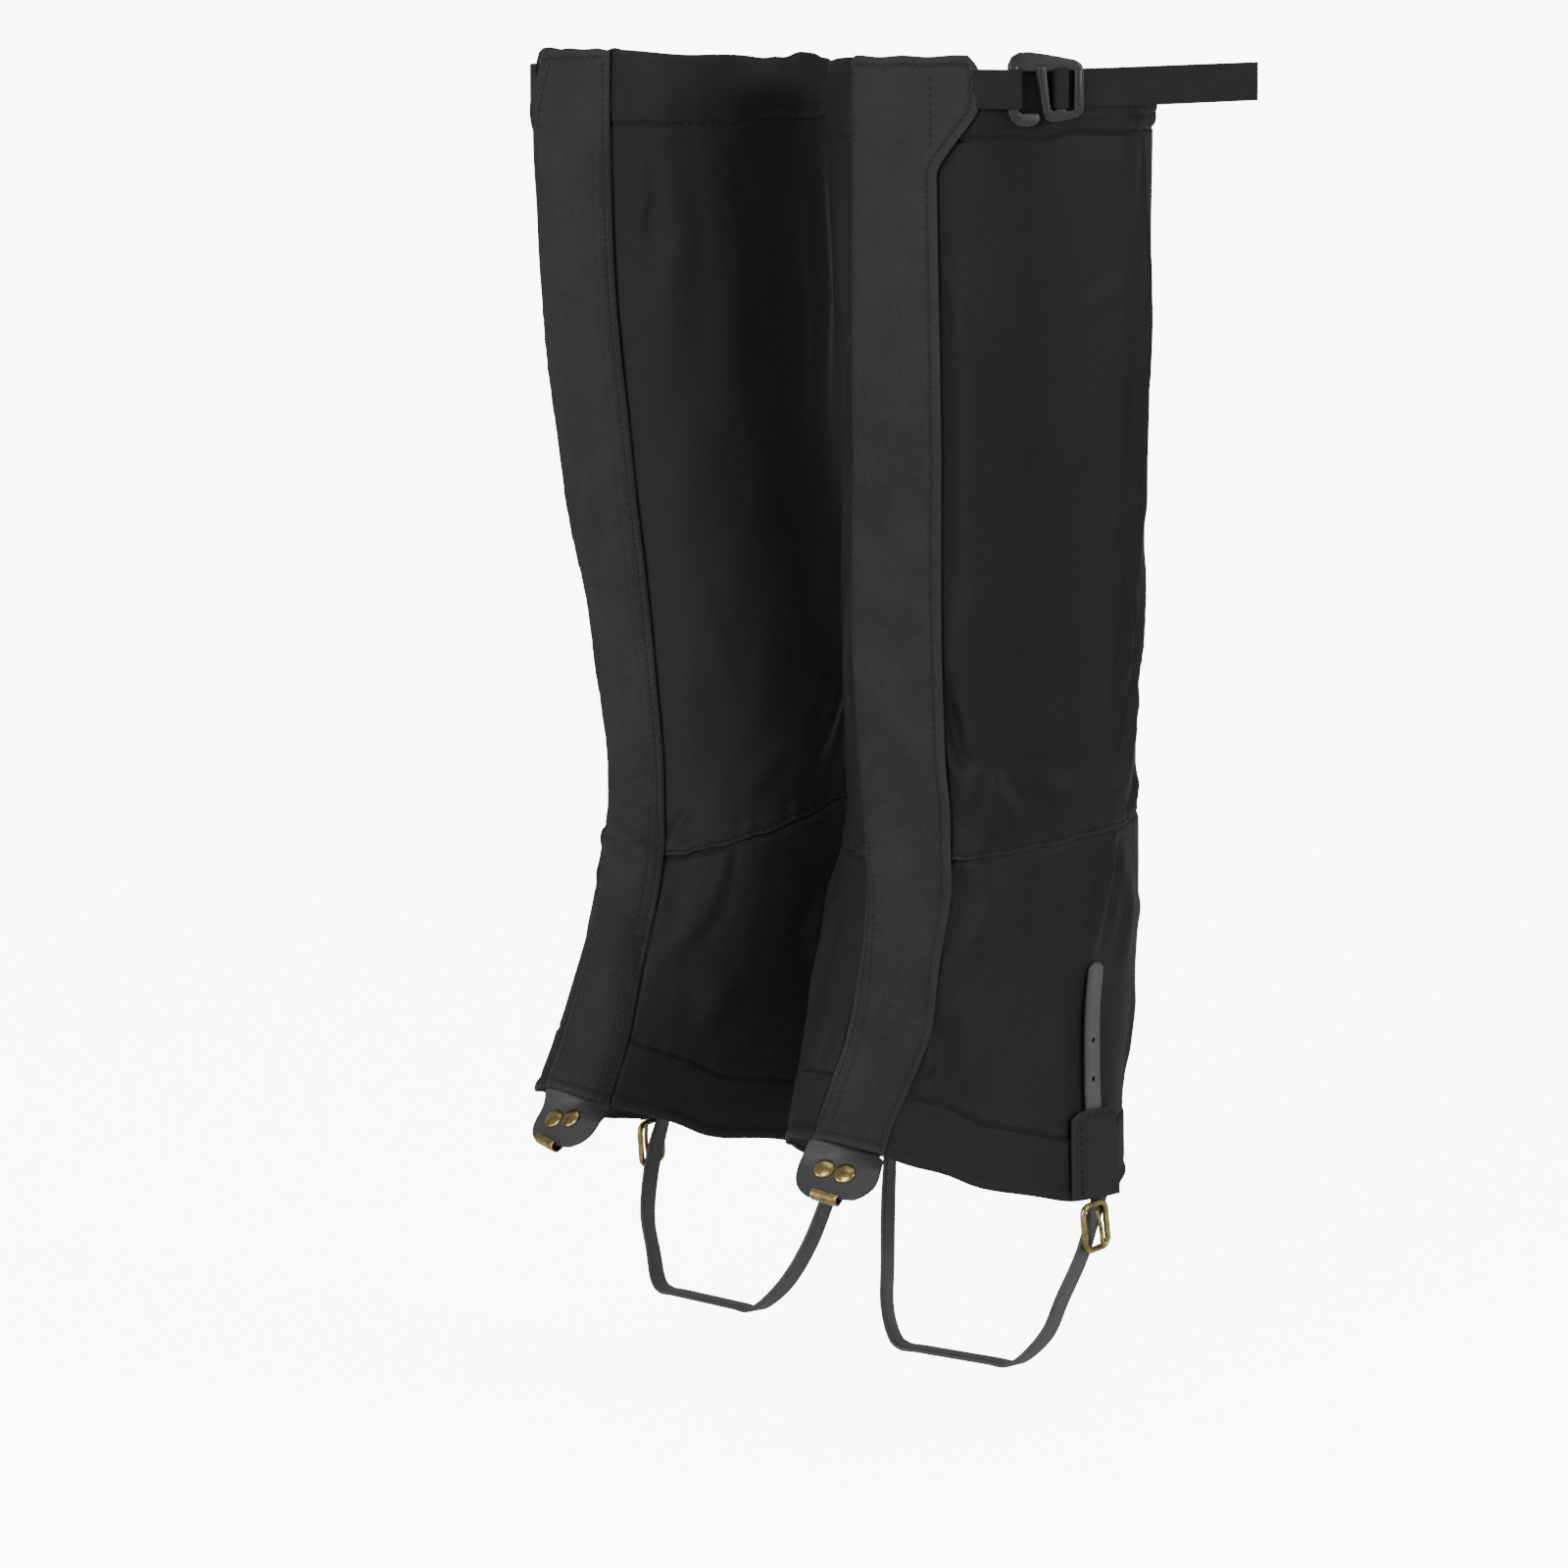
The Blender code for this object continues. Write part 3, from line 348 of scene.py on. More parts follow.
RIGHT_CREASES = creases("""
-37 332  -41 306  -46 278 | 0.5 6 0.3
-31 345  -29 306  -26 264 | 0.5 5 -0.2
-102 306  -91 278  -82 253 | 1.6 3.4 0.3
-95 282  -88 266  -80 249 | -0.8 2.8 -0.2
-27 236  -22 229  -19 222 | 1.2 2.2 0.3
-66 262  -57 250  -49 240 | 0.5 4.6 0.2
-60 500  -66 455  -61 400 | 0.7 6.5 0.2
-38 505  -42 470  -39 435 | 0.8 5 -0.2
-29 500  -31 482  -27 462 | 0.9 3.4 0.2
-104 500  -110 440  -104 390 | 1.4 5 0.2
98 505  106 462  103 415  110 365  104 318 | 1.8 4.6 -0.3
122 338  112 302  116 268 | 1.9 4 0.3
44 292  50 274  60 262 | 1.7 3.6 0.2
36 276  45 262  52 250 | -2 3.4 -0.2
74 262  84 252  96 256 | 1.3 3.8
66 470  61 430  66 385 | 0.7 6.5 0.2
""")
RIGHT_LOW_CREASES = creases("""
-36 224  -30 214  -28 203  -30 190 | -0.9 4 0.2
-43 222  -42 197  -34 178 | 0.8 4.6 0.3
-77 152  -70 141  -64 133 | -1.1 3.4 0.2
-58 222  -64 196  -60 166 | -0.8 7 0.2
-86 206  -80 186  -86 164 | 1.3 4.6 -0.2
-50 168  -54 158  -50 148 | 0.9 4.2
44 226  52 212  49 194 | 2.4 3.6 0.3
38 214  44 202  42 188 | -2 3.6 -0.2
62 224  66 206  61 188 | 1.4 4 0.2
46 168  55 157  50 146 | -2 4 0.2
108 228  104 206  110 184 | 1.8 4.2 -0.2
""")
LEFT_FLAP_CREASES = creases("""
-14 233  -7 229  1 226 | 1.3 2.2 0.3
20 262  15 250  18 236 | 0.6 4.5
2 205  8 188  13 168 | -0.9 4.2 0.2
24 222  28 208  31 190 | 0.7 3.8 0.2
-2 470  2 440  -1 410 | 0.4 6
14 400  18 360  14 320 | 0.4 7 0.2
10 160  16 146  12 134 | -0.6 3.8 0.2
""")
RIGHT_FLAP_CREASES = creases("""
-14 216  2 222  24 228 | 1.3 2.4 0.3
-6 262  0 250  -2 236 | 0.6 4.5
-14 206  -20 188  -22 168 | -0.9 4.2 0.2
-4 200  -10 180  -12 160 | 0.6 4.2 0.2
8 470  4 440  6 405 | 0.4 6
-8 380  -4 345  -8 310 | 0.4 7 0.2
""")


@dataclass(frozen=True)
class LegForm:
    """The measured form of one gaiter, the same as that of its solids."""
    name: str
    side: int
    splay: float
    seam_drop: float
    flap_middle: Row
    flap_span: Row
    tab_angle: float
    tab_facing: float
    flap_rise: tuple[float, float]
    strap_drop: float
    buckle_angle: float
    own_folds: tuple[tuple[Outline, float, float], ...]
    creases: tuple[Crease, ...]
    low_creases: tuple[Crease, ...]
    flap_creases: tuple[Crease, ...]
    seed: int

    def turned(self, out: Array, forward: Array, height: Array) -> Array:
        """A place given from the ankle's upright line, turned as the gaiter's lower end is, in millimetres.

        Args:
            out: millimetres outward.
            forward: millimetres forward.
            height: millimetres above the ground.

        Returns:
            The place, its axes being those of the frame.
        """
        splay = math.radians(self.splay) * ease((SPLAY_TOP - height) / SPLAY_DEPTH)
        turned_out = out * np.cos(splay) + forward * np.sin(splay)
        turned_forward = forward * np.cos(splay) - out * np.sin(splay)
        return np.stack([self.side * (ANKLE_OUT + turned_out), -(ANKLE_FORWARD + turned_forward),
                         height + 0.0 * turned_out], -1)

    def level(self, angle: Array, height: Array) -> Array:
        """Places on the smooth form without folds, in millimetres above the ground.

        Args:
            angle: degrees round the leg.
            height: millimetres above the ground.

        Returns:
            The places.
        """
        angle, height = np.broadcast_arrays(np.asarray(angle, float), np.asarray(height, float))
        turn = np.radians(angle)
        reach = np.where(np.cos(turn) > 0, SECTION_FRONT(height), SECTION_BACK(height))
        out = (SECTION_OUT(height) + SECTION_HALF(height) * np.sin(turn)
               * (1 - SECTION_TAPER(height) * np.cos(turn)) - ANKLE_OUT)
        return self.turned(out, SECTION_FORWARD(height) + reach * np.cos(turn) - ANKLE_FORWARD, height)

    def normal(self, angle: Array, height: Array) -> Array:
        """The outward direction of the smooth form.

        Args:
            angle: degrees round the leg.
            height: millimetres above the ground.

        Returns:
            Directions of length 1.
        """
        along = self.level(angle + 0.5, height) - self.level(angle - 0.5, height)
        upward = self.level(angle, height + 0.5) - self.level(angle, height - 0.5)
        return unit(np.cross(along, upward) * self.side)

    def base_folds(self, angle: Array, height: Array) -> Array:
        """How far the broad folds of the solids lift the cloth."""
        return sum(rise * bell(off_line(places, angle, height)[0], half_width)
                   for places, rise, half_width in (*BASE_FOLDS, *self.own_folds))

    def surface(self, angle: Array, height: Array, lift: Array) -> Surface:
        """A cloth surface on the folded form.

        Args:
            angle: degrees round the leg.
            height: millimetres above the ground.
            lift: millimetres outside the folded form.

        Returns:
            Places in metres from the origin, and the outward directions.
        """
        angle, height = np.broadcast_arrays(np.asarray(angle, float), np.asarray(height, float))
        out = self.normal(angle, height)
        away = np.asarray(lift) + self.base_folds(angle, height)
        return (self.level(angle, height) + out * away[..., None] - HOLD) * MM, out

    def mm_per_degree(self, angle: Array, height: Array) -> Array:
        """How long one degree is along the leg."""
        return np.linalg.norm(self.level(angle + 1, height) - self.level(angle - 1, height), axis=-1) / 2

    def flap_edges(self, height: Array) -> Surface:
        """The (inner, outer) angles of the flap's straight edges."""
        middle, span = Track(FLAP_HEIGHTS, self.flap_middle)(height), Track(FLAP_HEIGHTS, self.flap_span)(height)
        return middle - span / 2, middle + span / 2

    def panel_edges(self, height: Array) -> Surface:
        """The (start, end) angles of the cloth round the leg, from under the flap to its inner seam.

        Args:
            height: millimetres above the ground.

        Returns:
            The two angles.
        """
        inner, outer = self.flap_edges(height)
        inner_scale, outer_scale = self.mm_per_degree(inner, height), self.mm_per_degree(outer, height)
        start = np.maximum(outer - UNDERLAP / outer_scale, inner + (FLAP_LAP + FRONT_GAP) / inner_scale)
        return start, 360 + inner + FLAP_LAP / inner_scale

    def seam_height(self, angle: Array) -> Array:
        """Height of the ankle seam."""
        facing = np.cos(np.radians(angle))
        return ANKLE_SEAM - self.seam_drop * np.maximum(facing, 0) + BACK_RISE * np.maximum(-facing, 0)

    def hem_height(self, angle: Array) -> Array:
        """Height of the bottom edge, which rises a little on the inner side."""
        turn = wrapped(angle)
        return HEM_TRACK(np.abs(turn)) + INNER_RISE * ease((-turn - 52) / 24.0) * ease((turn + 150) / 40.0)

    def beside_seam(self, angle: Array, height: Array) -> Array:
        """Millimetres from the flap's inner seam, growing towards the flap's middle."""
        return (wrapped(angle) - self.flap_edges(height)[0]) * MM_PER_DEGREE

    def under_flap(self, angle: Array, height: Array) -> Array:
        """1 where the flap covers the cloth, 0 outside it."""
        to_free = (self.flap_edges(height)[1] - wrapped(angle)) * MM_PER_DEGREE
        return ease((self.beside_seam(angle, height) + 1.0) / 3.0) * ease((to_free + 0.5) / 4.0)

    def tucked(self, angle: Array, height: Array) -> Array:
        """How far the cloth is drawn in under the flap's inner seam, in millimetres."""
        beside = self.beside_seam(angle, height)
        return 1.6 * ease((beside + 0.9) / 1.6) * ease((9.0 - beside) / 3.0)

    def ripple(self, angle: Array, height: Array, size: float, salt: int) -> Array:
        """Low uneven waves in the cloth.

        Args:
            angle: degrees round the leg.
            height: millimetres above the ground.
            size: typical rise in millimetres.
            salt: makes one ripple unlike another.

        Returns:
            Millimetres outward.
        """
        rng = np.random.default_rng(self.seed * 100 + salt)
        total = np.zeros(np.broadcast(angle, height).shape)
        for _ in range(10):
            turns, rise = rng.integers(3, 15), rng.uniform(-0.11, 0.11)
            phase, share = rng.uniform(0, 6.28), rng.uniform(0.3, 1.0)
            total += share * np.sin(np.radians(angle) * turns + rise * height + phase
                                    + 0.8 * np.sin(height * 0.03 + phase))
        return total * size / 4.0


# -------- making meshes

def keep(piece: Piece, material: Material, slot: "Slot", *replaced: str) -> Piece:
    """Gives a finished piece its material and its body, and hides the solids it stands for, named without their side.

    Args:
        piece: the piece.
        material: its material.
        slot: not used.
        replaced: the solids.

    Returns:
        The piece.
    """
    piece.data.materials.clear()
    piece.data.materials.append(material)
    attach(piece, BODY)
    if replaced:
        side = piece.name.partition("_")[0]
        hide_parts(*(f"{side}_{solid}" for solid in replaced))
    LOG.info("%s: %d faces", piece.name, len(piece.data.polygons))
    return piece


def faces_to_object(name: str, points: Array, faces: Array, uv: Array | None = None, rim: Array | None = None
                    ) -> Piece:
    """A smooth object from corner places and faces of equal size, turned so that it faces outward.

    Args:
        name: the piece's name.
        points: places in metres.
        faces: one row of corners for each face.
        uv: cloth coordinates of each point, in millimetres.
        rim: how near each point is to the piece's edge, 0 to 1.

    Returns:
        The object, linked to the scene.
    """
    corners = points[faces]
    volume = sum(float(np.einsum("ij,ij->", corners[:, 0], np.cross(corners[:, k], corners[:, k + 1])))
                 for k in range(1, faces.shape[1] - 1))
    if volume < 0:
        faces = faces[:, ::-1]
    mesh = bpy.data.meshes.new(name)
    mesh.vertices.add(len(points))
    mesh.vertices.foreach_set("co", points.astype(np.float32).ravel())
    mesh.loops.add(faces.size)
    mesh.loops.foreach_set("vertex_index", faces.astype(np.int32).ravel())
    mesh.polygons.add(len(faces))
    mesh.polygons.foreach_set("loop_start", np.arange(0, faces.size, faces.shape[1], dtype=np.int32))
    mesh.update(calc_edges=True)
    mesh.shade_smooth()
    if uv is not None:
        layer = mesh.uv_layers.new(name=CLOTH_UV)
        layer.data.foreach_set("uv", uv[faces.ravel()].astype(np.float32).ravel())
    if rim is not None:
        mesh.attributes.new(RIM, "FLOAT", "POINT").data.foreach_set("value", rim.astype(np.float32))
    obj = bpy.data.objects.new(name, mesh)
    bpy.context.scene.collection.objects.link(obj)
    return obj


def graded(length: float, step: float, rounding: float, lines: Row = (), fine: float = 0.55) -> Array:
    """Places along an edge, closer together at the rounded rims and beside given lines.

    Args:
        length: the edge's length in millimetres.
        step: spacing away from the rims and lines.
        rounding: how far the rounded rim reaches in.
        lines: places beside which the cloth has narrow detail.
        fine: spacing beside the lines.

    Returns:
        The places in millimetres, from 0 to the length.
    """
    rim = np.array((0.0, 0.14, 0.5)) * rounding
    x = np.arange(rounding, length - rounding, 0.05)
    local = np.minimum(step, 0.7 * fine + 0.5 * rounding + 0.4 * np.minimum(x, length - x))
    for line in lines:
        local = np.minimum(local, fine + 0.45 * np.maximum(np.abs(x - line) - 1.6, 0.0))
    run = np.concatenate([[0], np.cumsum(0.05 / local)])[:len(x)]
    middle = np.interp(np.linspace(0, run[-1], max(round(run[-1]), 2) + 1), run, x)
    middle[-1] = length - rounding
    return np.concatenate([rim, middle, length - rim[::-1]])


def fitted(place: Array, marks: Row, heights: list[Array]) -> Array:
    """Carries places along a run so that its marks, in order, fall on given heights.

    Args:
        place: the places.
        marks: places of the marks.
        heights: where the marks come to lie.

    Returns:
        The places as heights.
    """
    result = heights[0] + 0.0 * place
    for low, high, start, end in zip(marks, marks[1:], heights, heights[1:]):
        result = result + np.clip((place - low) / (high - low), 0.0, 1.0) * (end - start)
    return result


def quads(grid: Array) -> Array:
    """The quads of a grid of corner numbers."""
    return np.stack([grid[:-1, :-1], grid[:-1, 1:], grid[1:, 1:], grid[1:, :-1]], -1).reshape(-1, 4)


def cloth_shell(name: str, outer: Array, out: Array, wall: float, uv: Array) -> Piece:
    """A thin closed sheet with a rounded rim from a grid of places on its outer face.

    Args:
        name: the piece's name.
        outer: rows x columns of places in metres.
        out: the outward direction at each.
        wall: the sheet's thickness in millimetres.
        uv: cloth coordinates in millimetres.

    Returns:
        The object.
    """
    rows, columns = outer.shape[:2]
    sideways = np.linalg.norm(np.diff(outer, axis=1), axis=2) / MM
    upward = np.linalg.norm(np.diff(outer, axis=0), axis=2) / MM
    left = np.concatenate([np.zeros((rows, 1)), np.cumsum(sideways, axis=1)], axis=1)
    low = np.concatenate([np.zeros((1, columns)), np.cumsum(upward, axis=0)], axis=0)
    edge = np.minimum(np.minimum(left, left[:, -1:] - left), np.minimum(low, low[-1:] - low))
    half = wall / 2
    sink = half - np.sqrt(np.maximum(half**2 - (half - np.clip(edge, 0, half)) ** 2, 0))
    front = outer - out * (sink * MM)[..., None]
    back = outer - out * ((wall - sink) * MM)[..., None]
    index = np.arange(rows * columns).reshape(rows, columns)
    inner_index = index.copy()
    inner_index[1:-1, 1:-1] = rows * columns + np.arange((rows - 2) * (columns - 2)).reshape(rows - 2, columns - 2)
    points = np.concatenate([front.reshape(-1, 3), back[1:-1, 1:-1].reshape(-1, 3)])
    coords = np.concatenate([uv.reshape(-1, 2), uv[1:-1, 1:-1].reshape(-1, 2)])
    nearness = np.exp(-edge / RIM_REACH)
    rim = np.concatenate([nearness.ravel(), nearness[1:-1, 1:-1].ravel()])
    return faces_to_object(name, points, np.concatenate([quads(index), quads(inner_index)[:, ::-1]]), coords, rim)


def strip(name: str, path: Array, halves: Array, turn: float, wall: float, step: float = 1.0) -> Piece:
    """A strap or webbing strip along a path on its outer face.

    Args:
        name: the piece's name.
        path: places along its middle in metres.
        halves: half of its width as a vector, one for all or one at each place.
        turn: 1 or -1, whichever makes path direction times width point outward.
        wall: thickness in millimetres.
        step: spacing across it in millimetres.

    Returns:
        The object.
    """
    halves = np.broadcast_to(halves, path.shape)
    run = run_along(path)
    shares = graded(float(run[-1]), 1.0, wall / 2)
    middle, wide = read_at(shares, run, path), read_at(shares, run, halves)
    width = 2 * np.linalg.norm(halves, axis=1).max() / MM
    across = graded(width, step, wall / 2) / width * 2 - 1
    out = unit(np.cross(unit(np.gradient(middle, axis=0)), wide)) * turn
    outer = middle[None] + wide[None] * across[:, None, None]
    uv = np.stack(np.broadcast_arrays(shares[None], across[:, None] * width / 2), -1)
    return cloth_shell(name, outer, np.broadcast_to(out[None], outer.shape), wall, uv)


def stitches(name: str, rows: list[Surface], pitch: float = 3.0, radius: float = 0.26) -> Piece:
    """Rows of sewing thread, each stitch a small bowed bead whose ends go into the cloth.

    Args:
        name: the piece's name.
        rows: for each row, dense places in metres and the outward directions there.
        pitch: from one stitch to the next, in millimetres.
        radius: of the thread, in millimetres.

    Returns:
        One object with every stitch.
    """
    ring_at = np.array((0.0, 0.14, 0.5, 0.86, 1.0))
    ring_size = np.array((0.45, 0.95, 1.0, 0.95, 0.45))
    ring_lift = np.array((-0.16, 0.06, 0.17, 0.06, -0.16))
    sides = 6
    spin = np.arange(sides) * math.tau / sides
    clouds = []
    for path, out in rows:
        run = run_along(path)
        count = int(run[-1] / pitch)
        starts = (np.arange(count) + 0.14) * (run[-1] / count)
        where = starts[:, None] + ring_at[None] * pitch * 0.74
        middle, normal = read_at(where, run, path), unit(read_at(where, run, out))
        along = unit(middle[:, -1:] - middle[:, :1])
        side = unit(np.cross(normal, np.broadcast_to(along, normal.shape)))
        middle = middle + normal * (ring_lift * MM)[None, :, None]
        around = (normal[:, :, None] * np.cos(spin)[None, None, :, None] * 0.8
                  + side[:, :, None] * np.sin(spin)[None, None, :, None])
        clouds.append(middle[:, :, None] + around * (ring_size * radius * MM)[None, :, None, None])
    cloud = np.concatenate(clouds)
    count, rings = cloud.shape[:2]
    one = np.arange(rings * sides).reshape(rings, sides)
    shell = np.stack([one[:-1], np.roll(one[:-1], -1, 1), np.roll(one[1:], -1, 1), one[1:]], -1).reshape(-1, 4)
    half_caps = one[:, (0, 1, 2, 3)], one[:, (0, 3, 4, 5)]
    bead = np.concatenate([shell, [half[0][::-1] for half in half_caps], [half[-1] for half in half_caps]])
    faces = (bead[None] + (np.arange(count) * rings * sides)[:, None, None]).reshape(-1, 4)
    return faces_to_object(name, cloud.reshape(-1, 3), faces)


# -------- steps at the bench, in millimetres

def select_only(obj: Piece | None = None) -> None:
    """Deselects everything else and makes a piece active.

    Args:
        obj: the piece, or None to select nothing.
    """
    bpy.ops.object.select_all(action="DESELECT")
    if obj:
        obj.select_set(True)
        bpy.context.view_layer.objects.active = obj


def open_up() -> None:
    """Opens the active piece with all of it selected."""
    bpy.ops.object.mode_set(mode="EDIT")
    bpy.ops.mesh.select_all(action="SELECT")


def close_up() -> Piece:
    """Leaves the open piece with its faces turned outward.

    Returns:
        The piece.
    """
    bpy.ops.mesh.select_all(action="SELECT")
    bpy.ops.mesh.normals_make_consistent(inside=False)
    bpy.ops.object.mode_set(mode="OBJECT")
    return bpy.context.active_object


def ring_of(corners: list[Row], filled: bool) -> Piece:
    """A circle primitive whose corners are moved to places in metres.

    Args:
        corners: the places.
        filled: whether it gets a face.

    Returns:
        The ring.
    """
    select_only()
    bpy.ops.mesh.primitive_circle_add(vertices=len(corners), radius=MM, fill_type="NGON" if filled else "NOTHING")
    obj = bpy.context.active_object
    for vertex, corner in zip(obj.data.vertices, corners):
        vertex.co = corner
    return obj


def flat_plate(points: Outline, low: float, high: float) -> Piece:
    """A flat outline extruded into a plate between two levels.

    Args:
        points: its corners.
        low: its lower level.
        high: its upper level.

    Returns:
        The plate.
    """
    obj = ring_of([(x * MM, y * MM, 0.0) for x, y in points], True)
    open_up()
    bpy.ops.transform.translate(value=(0, 0, low * MM))
    bpy.ops.mesh.extrude_region_move(TRANSFORM_OT_translate={"value": (0, 0, (high - low) * MM)})
    close_up()
    return obj


def bar_block(left: float, right: float, low: float, high: float, under: float, over: float, bevel: float) -> Piece:
    """A cube primitive resized to a bar with round edges.

    Args:
        left: its left end.
        right: its right end.
        low: its near side.
        high: its far side.
        under: its lowest level.
        over: its highest level.
        bevel: how far its edges are rounded.

    Returns:
        The bar.
    """
    select_only()
    bpy.ops.mesh.primitive_cube_add(size=1.0)
    open_up()
    bpy.ops.transform.resize(value=((right - left) * MM, (high - low) * MM, (over - under) * MM))
    bpy.ops.transform.translate(value=((left + right) / 2 * MM, (low + high) / 2 * MM, (under + over) / 2 * MM))
    bpy.ops.mesh.bevel(offset=bevel * MM, segments=3, affect="EDGES")
    bpy.ops.object.mode_set(mode="OBJECT")
    return bpy.context.active_object


def combine(obj: Piece, other: Piece, operation: str) -> None:
    """Joins, or cuts away, another closed piece and removes it.

    Args:
        obj: the piece that stays.
        other: the piece that is joined or cut away.
        operation: the Boolean's operation.
    """
    select_only(obj)
    cut = obj.modifiers.new("Combine", "BOOLEAN")
    cut.object, cut.operation, cut.solver = other, operation, "EXACT"
    bpy.ops.object.modifier_apply(modifier=cut.name)
    bpy.data.objects.remove(other)


def soften(obj: Piece, width: float) -> None:
    """Rounds the sharp edges with a bevel and shades the rest smooth.

    Args:
        obj: the piece.
        width: the bevel's width.
    """
    select_only(obj)
    bevel = obj.modifiers.new("Soften", "BEVEL")
    bevel.width, bevel.segments, bevel.limit_method = width * MM, 4, "ANGLE"
    bevel.angle_limit = math.radians(35)
    bpy.ops.object.modifier_apply(modifier=bevel.name)
    smooth_to(40)


def smooth_to(angle: float) -> None:
    """Shades the active piece smooth, apart from edges sharper than the angle."""
    bpy.ops.object.shade_smooth_by_angle(angle=math.radians(angle))


def bent_wire(name: str, points: Array, radius: float, closed: bool) -> Piece:
    """A round wire through places in metres, from a circle primitive opened out and given a bevel.

    Args:
        name: the piece's name.
        points: places along its middle.
        radius: in millimetres.
        closed: whether its ends meet.

    Returns:
        The wire.
    """
    obj = ring_of(list(points), False)
    if not closed:
        bpy.ops.object.mode_set(mode="EDIT")
        bpy.ops.mesh.select_all(action="DESELECT")
        bpy.ops.object.mode_set(mode="OBJECT")
        for edge in obj.data.edges:
            edge.select = set(edge.vertices) == {0, len(points) - 1}
        bpy.ops.object.mode_set(mode="EDIT")
        bpy.ops.mesh.select_mode(type="EDGE")
        bpy.ops.mesh.delete(type="EDGE_FACE")
        bpy.ops.object.mode_set(mode="OBJECT")
    bpy.ops.object.convert(target="CURVE")
    curve = bpy.context.active_object.data
    curve.bevel_depth, curve.bevel_resolution, curve.use_fill_caps = radius * MM, 4, not closed
    bpy.ops.object.convert(target="MESH")
    open_up()
    bpy.ops.mesh.remove_doubles(threshold=1e-6)
    return named_round(close_up(), name)


def named_round(obj: Piece, name: str) -> Piece:
    """Names a round piece and shades it smooth.

    Args:
        obj: the piece.
        name: its name.

    Returns:
        The piece.
    """
    obj.name = obj.data.name = name
    smooth_to(50)
    return obj


def turned_piece(name: str, profile: Outline, sides: int) -> Piece:
    """A round piece built up from a filled circle by steps of extruding and resizing.

    Args:
        name: the piece's name.
        profile: (radius, height) from the underside's rim up to the middle, in millimetres.
        sides: how many corners each ring has.

    Returns:
        The object, standing on z = 0.
    """
    select_only()
    radius, level = profile[0]
    bpy.ops.mesh.primitive_circle_add(vertices=sides, radius=radius * MM, fill_type="NGON",
                                      location=(0, 0, level * MM))
    bpy.ops.object.transform_apply(location=True, rotation=False, scale=False)
    open_up()
    for next_radius, next_level in profile[1:]:
        bpy.ops.mesh.extrude_region_move(TRANSFORM_OT_translate={"value": (0, 0, (next_level - level) * MM)})
        share = next_radius / radius
        bpy.ops.transform.resize(value=(share, share, 1.0), center_override=(0, 0, next_level * MM))
        radius, level = next_radius, next_level
    return named_round(close_up(), name)


def put(obj: Piece, name: str, matrix: Matrix) -> Piece:
    """Moves a piece's mesh to its place, leaving the object at the origin.

    Args:
        obj: the piece.
        name: its name.
        matrix: carries it to its place.

    Returns:
        The piece.
    """
    obj.data.transform(matrix)
    if matrix.determinant() < 0:
        obj.data.flip_normals()
    obj.name = obj.data.name = name
    return obj


# -------- finishes

Socket = bpy.types.NodeSocket
Colour = tuple[float, float, float]
WHITE = (1.0, 1.0, 1.0, 1.0)


class NodeSheet:
    """Adds and links the nodes of one tree."""

    def __init__(self, tree: bpy.types.NodeTree) -> None:
        """Starts on a tree."""
        self.tree = tree

    def feed(self, socket: Socket, value: object) -> None:
        """Links a socket, or sets its own value.

        Args:
            socket: the input.
            value: a socket to link, or a value.
        """
        if isinstance(value, bpy.types.NodeSocket):
            self.tree.links.new(value, socket)
        else:
            socket.default_value = value

    def node(self, kind: str, inputs: dict | None = None, **settings: object) -> bpy.types.Node:
        """A new node with its settings and its inputs set or linked.

        Args:
            kind: the node's type.
            inputs: its inputs by name.
            settings: its settings by name.

        Returns:
            The node.
        """
        node = self.tree.nodes.new(kind)
        for key, value in settings.items():
            setattr(node, key, value)
        for key, value in (inputs or {}).items():
            self.feed(node.inputs[key], value)
        return node

    def math(self, operation: str, a: object, b: object = 0.0, clamp: bool = False) -> Socket:
        """One step of arithmetic."""
        return self.node("ShaderNodeMath", {0: a, 1: b}, operation=operation, use_clamp=clamp).outputs[0]

    def add(self, a: object, b: object, clamp: bool = False) -> Socket:
        """The sum of two values."""
        return self.math("ADD", a, b, clamp)

    def times(self, a: object, b: object, clamp: bool = False) -> Socket:
        """The product of two values."""
        return self.math("MULTIPLY", a, b, clamp)

    def about(self, value: Socket, middle: float, gain: float) -> Socket:
        """A value from 0 to 1 turned into one that varies about a middle."""
        return self.add(self.times(self.math("SUBTRACT", value, 0.5), gain), middle)

    def ribs(self, run: Socket, spacing: float) -> Socket:
        """Rounded ribs across a run, as far apart as the spacing."""
        return self.math("ABSOLUTE", self.math("SINE", self.times(run, math.pi / spacing)))

    def blend(self, share: object, *colours: Socket | Colour) -> Socket:
        """A colour between two others."""
        full = [(*colour, 1.0) if isinstance(colour, tuple) else colour for colour in colours]
        return self.node("ShaderNodeMix", {0: share, 6: full[0], 7: full[1]}, data_type="RGBA").outputs[2]

    def noise(self, vector: object, scale: object, detail: float = 2.0) -> Socket:
        """A noise value."""
        return self.node("ShaderNodeTexNoise", {"Vector": vector, "Scale": scale, "Detail": detail}).outputs[0]

    def axes(self, vector: Socket) -> bpy.types.bpy_prop_collection:
        """The three axes of a place, one socket each."""
        return self.node("ShaderNodeSeparateXYZ", {"Vector": vector}).outputs

    def seen_apart(self, plain: Socket, seen: Socket, output: str) -> None:
        """Sends one shader to the light and another to the eye.

        Args:
            plain: the shader for the light.
            seen: the shader for the eye.
            output: the output node's name.
        """
        camera_ray = self.node("ShaderNodeLightPath").outputs["Is Camera Ray"]
        mix = self.node("ShaderNodeMixShader", {0: camera_ray, 1: plain, 2: seen})
        self.tree.links.new(mix.outputs[0], self.tree.nodes[output].inputs["Surface"])


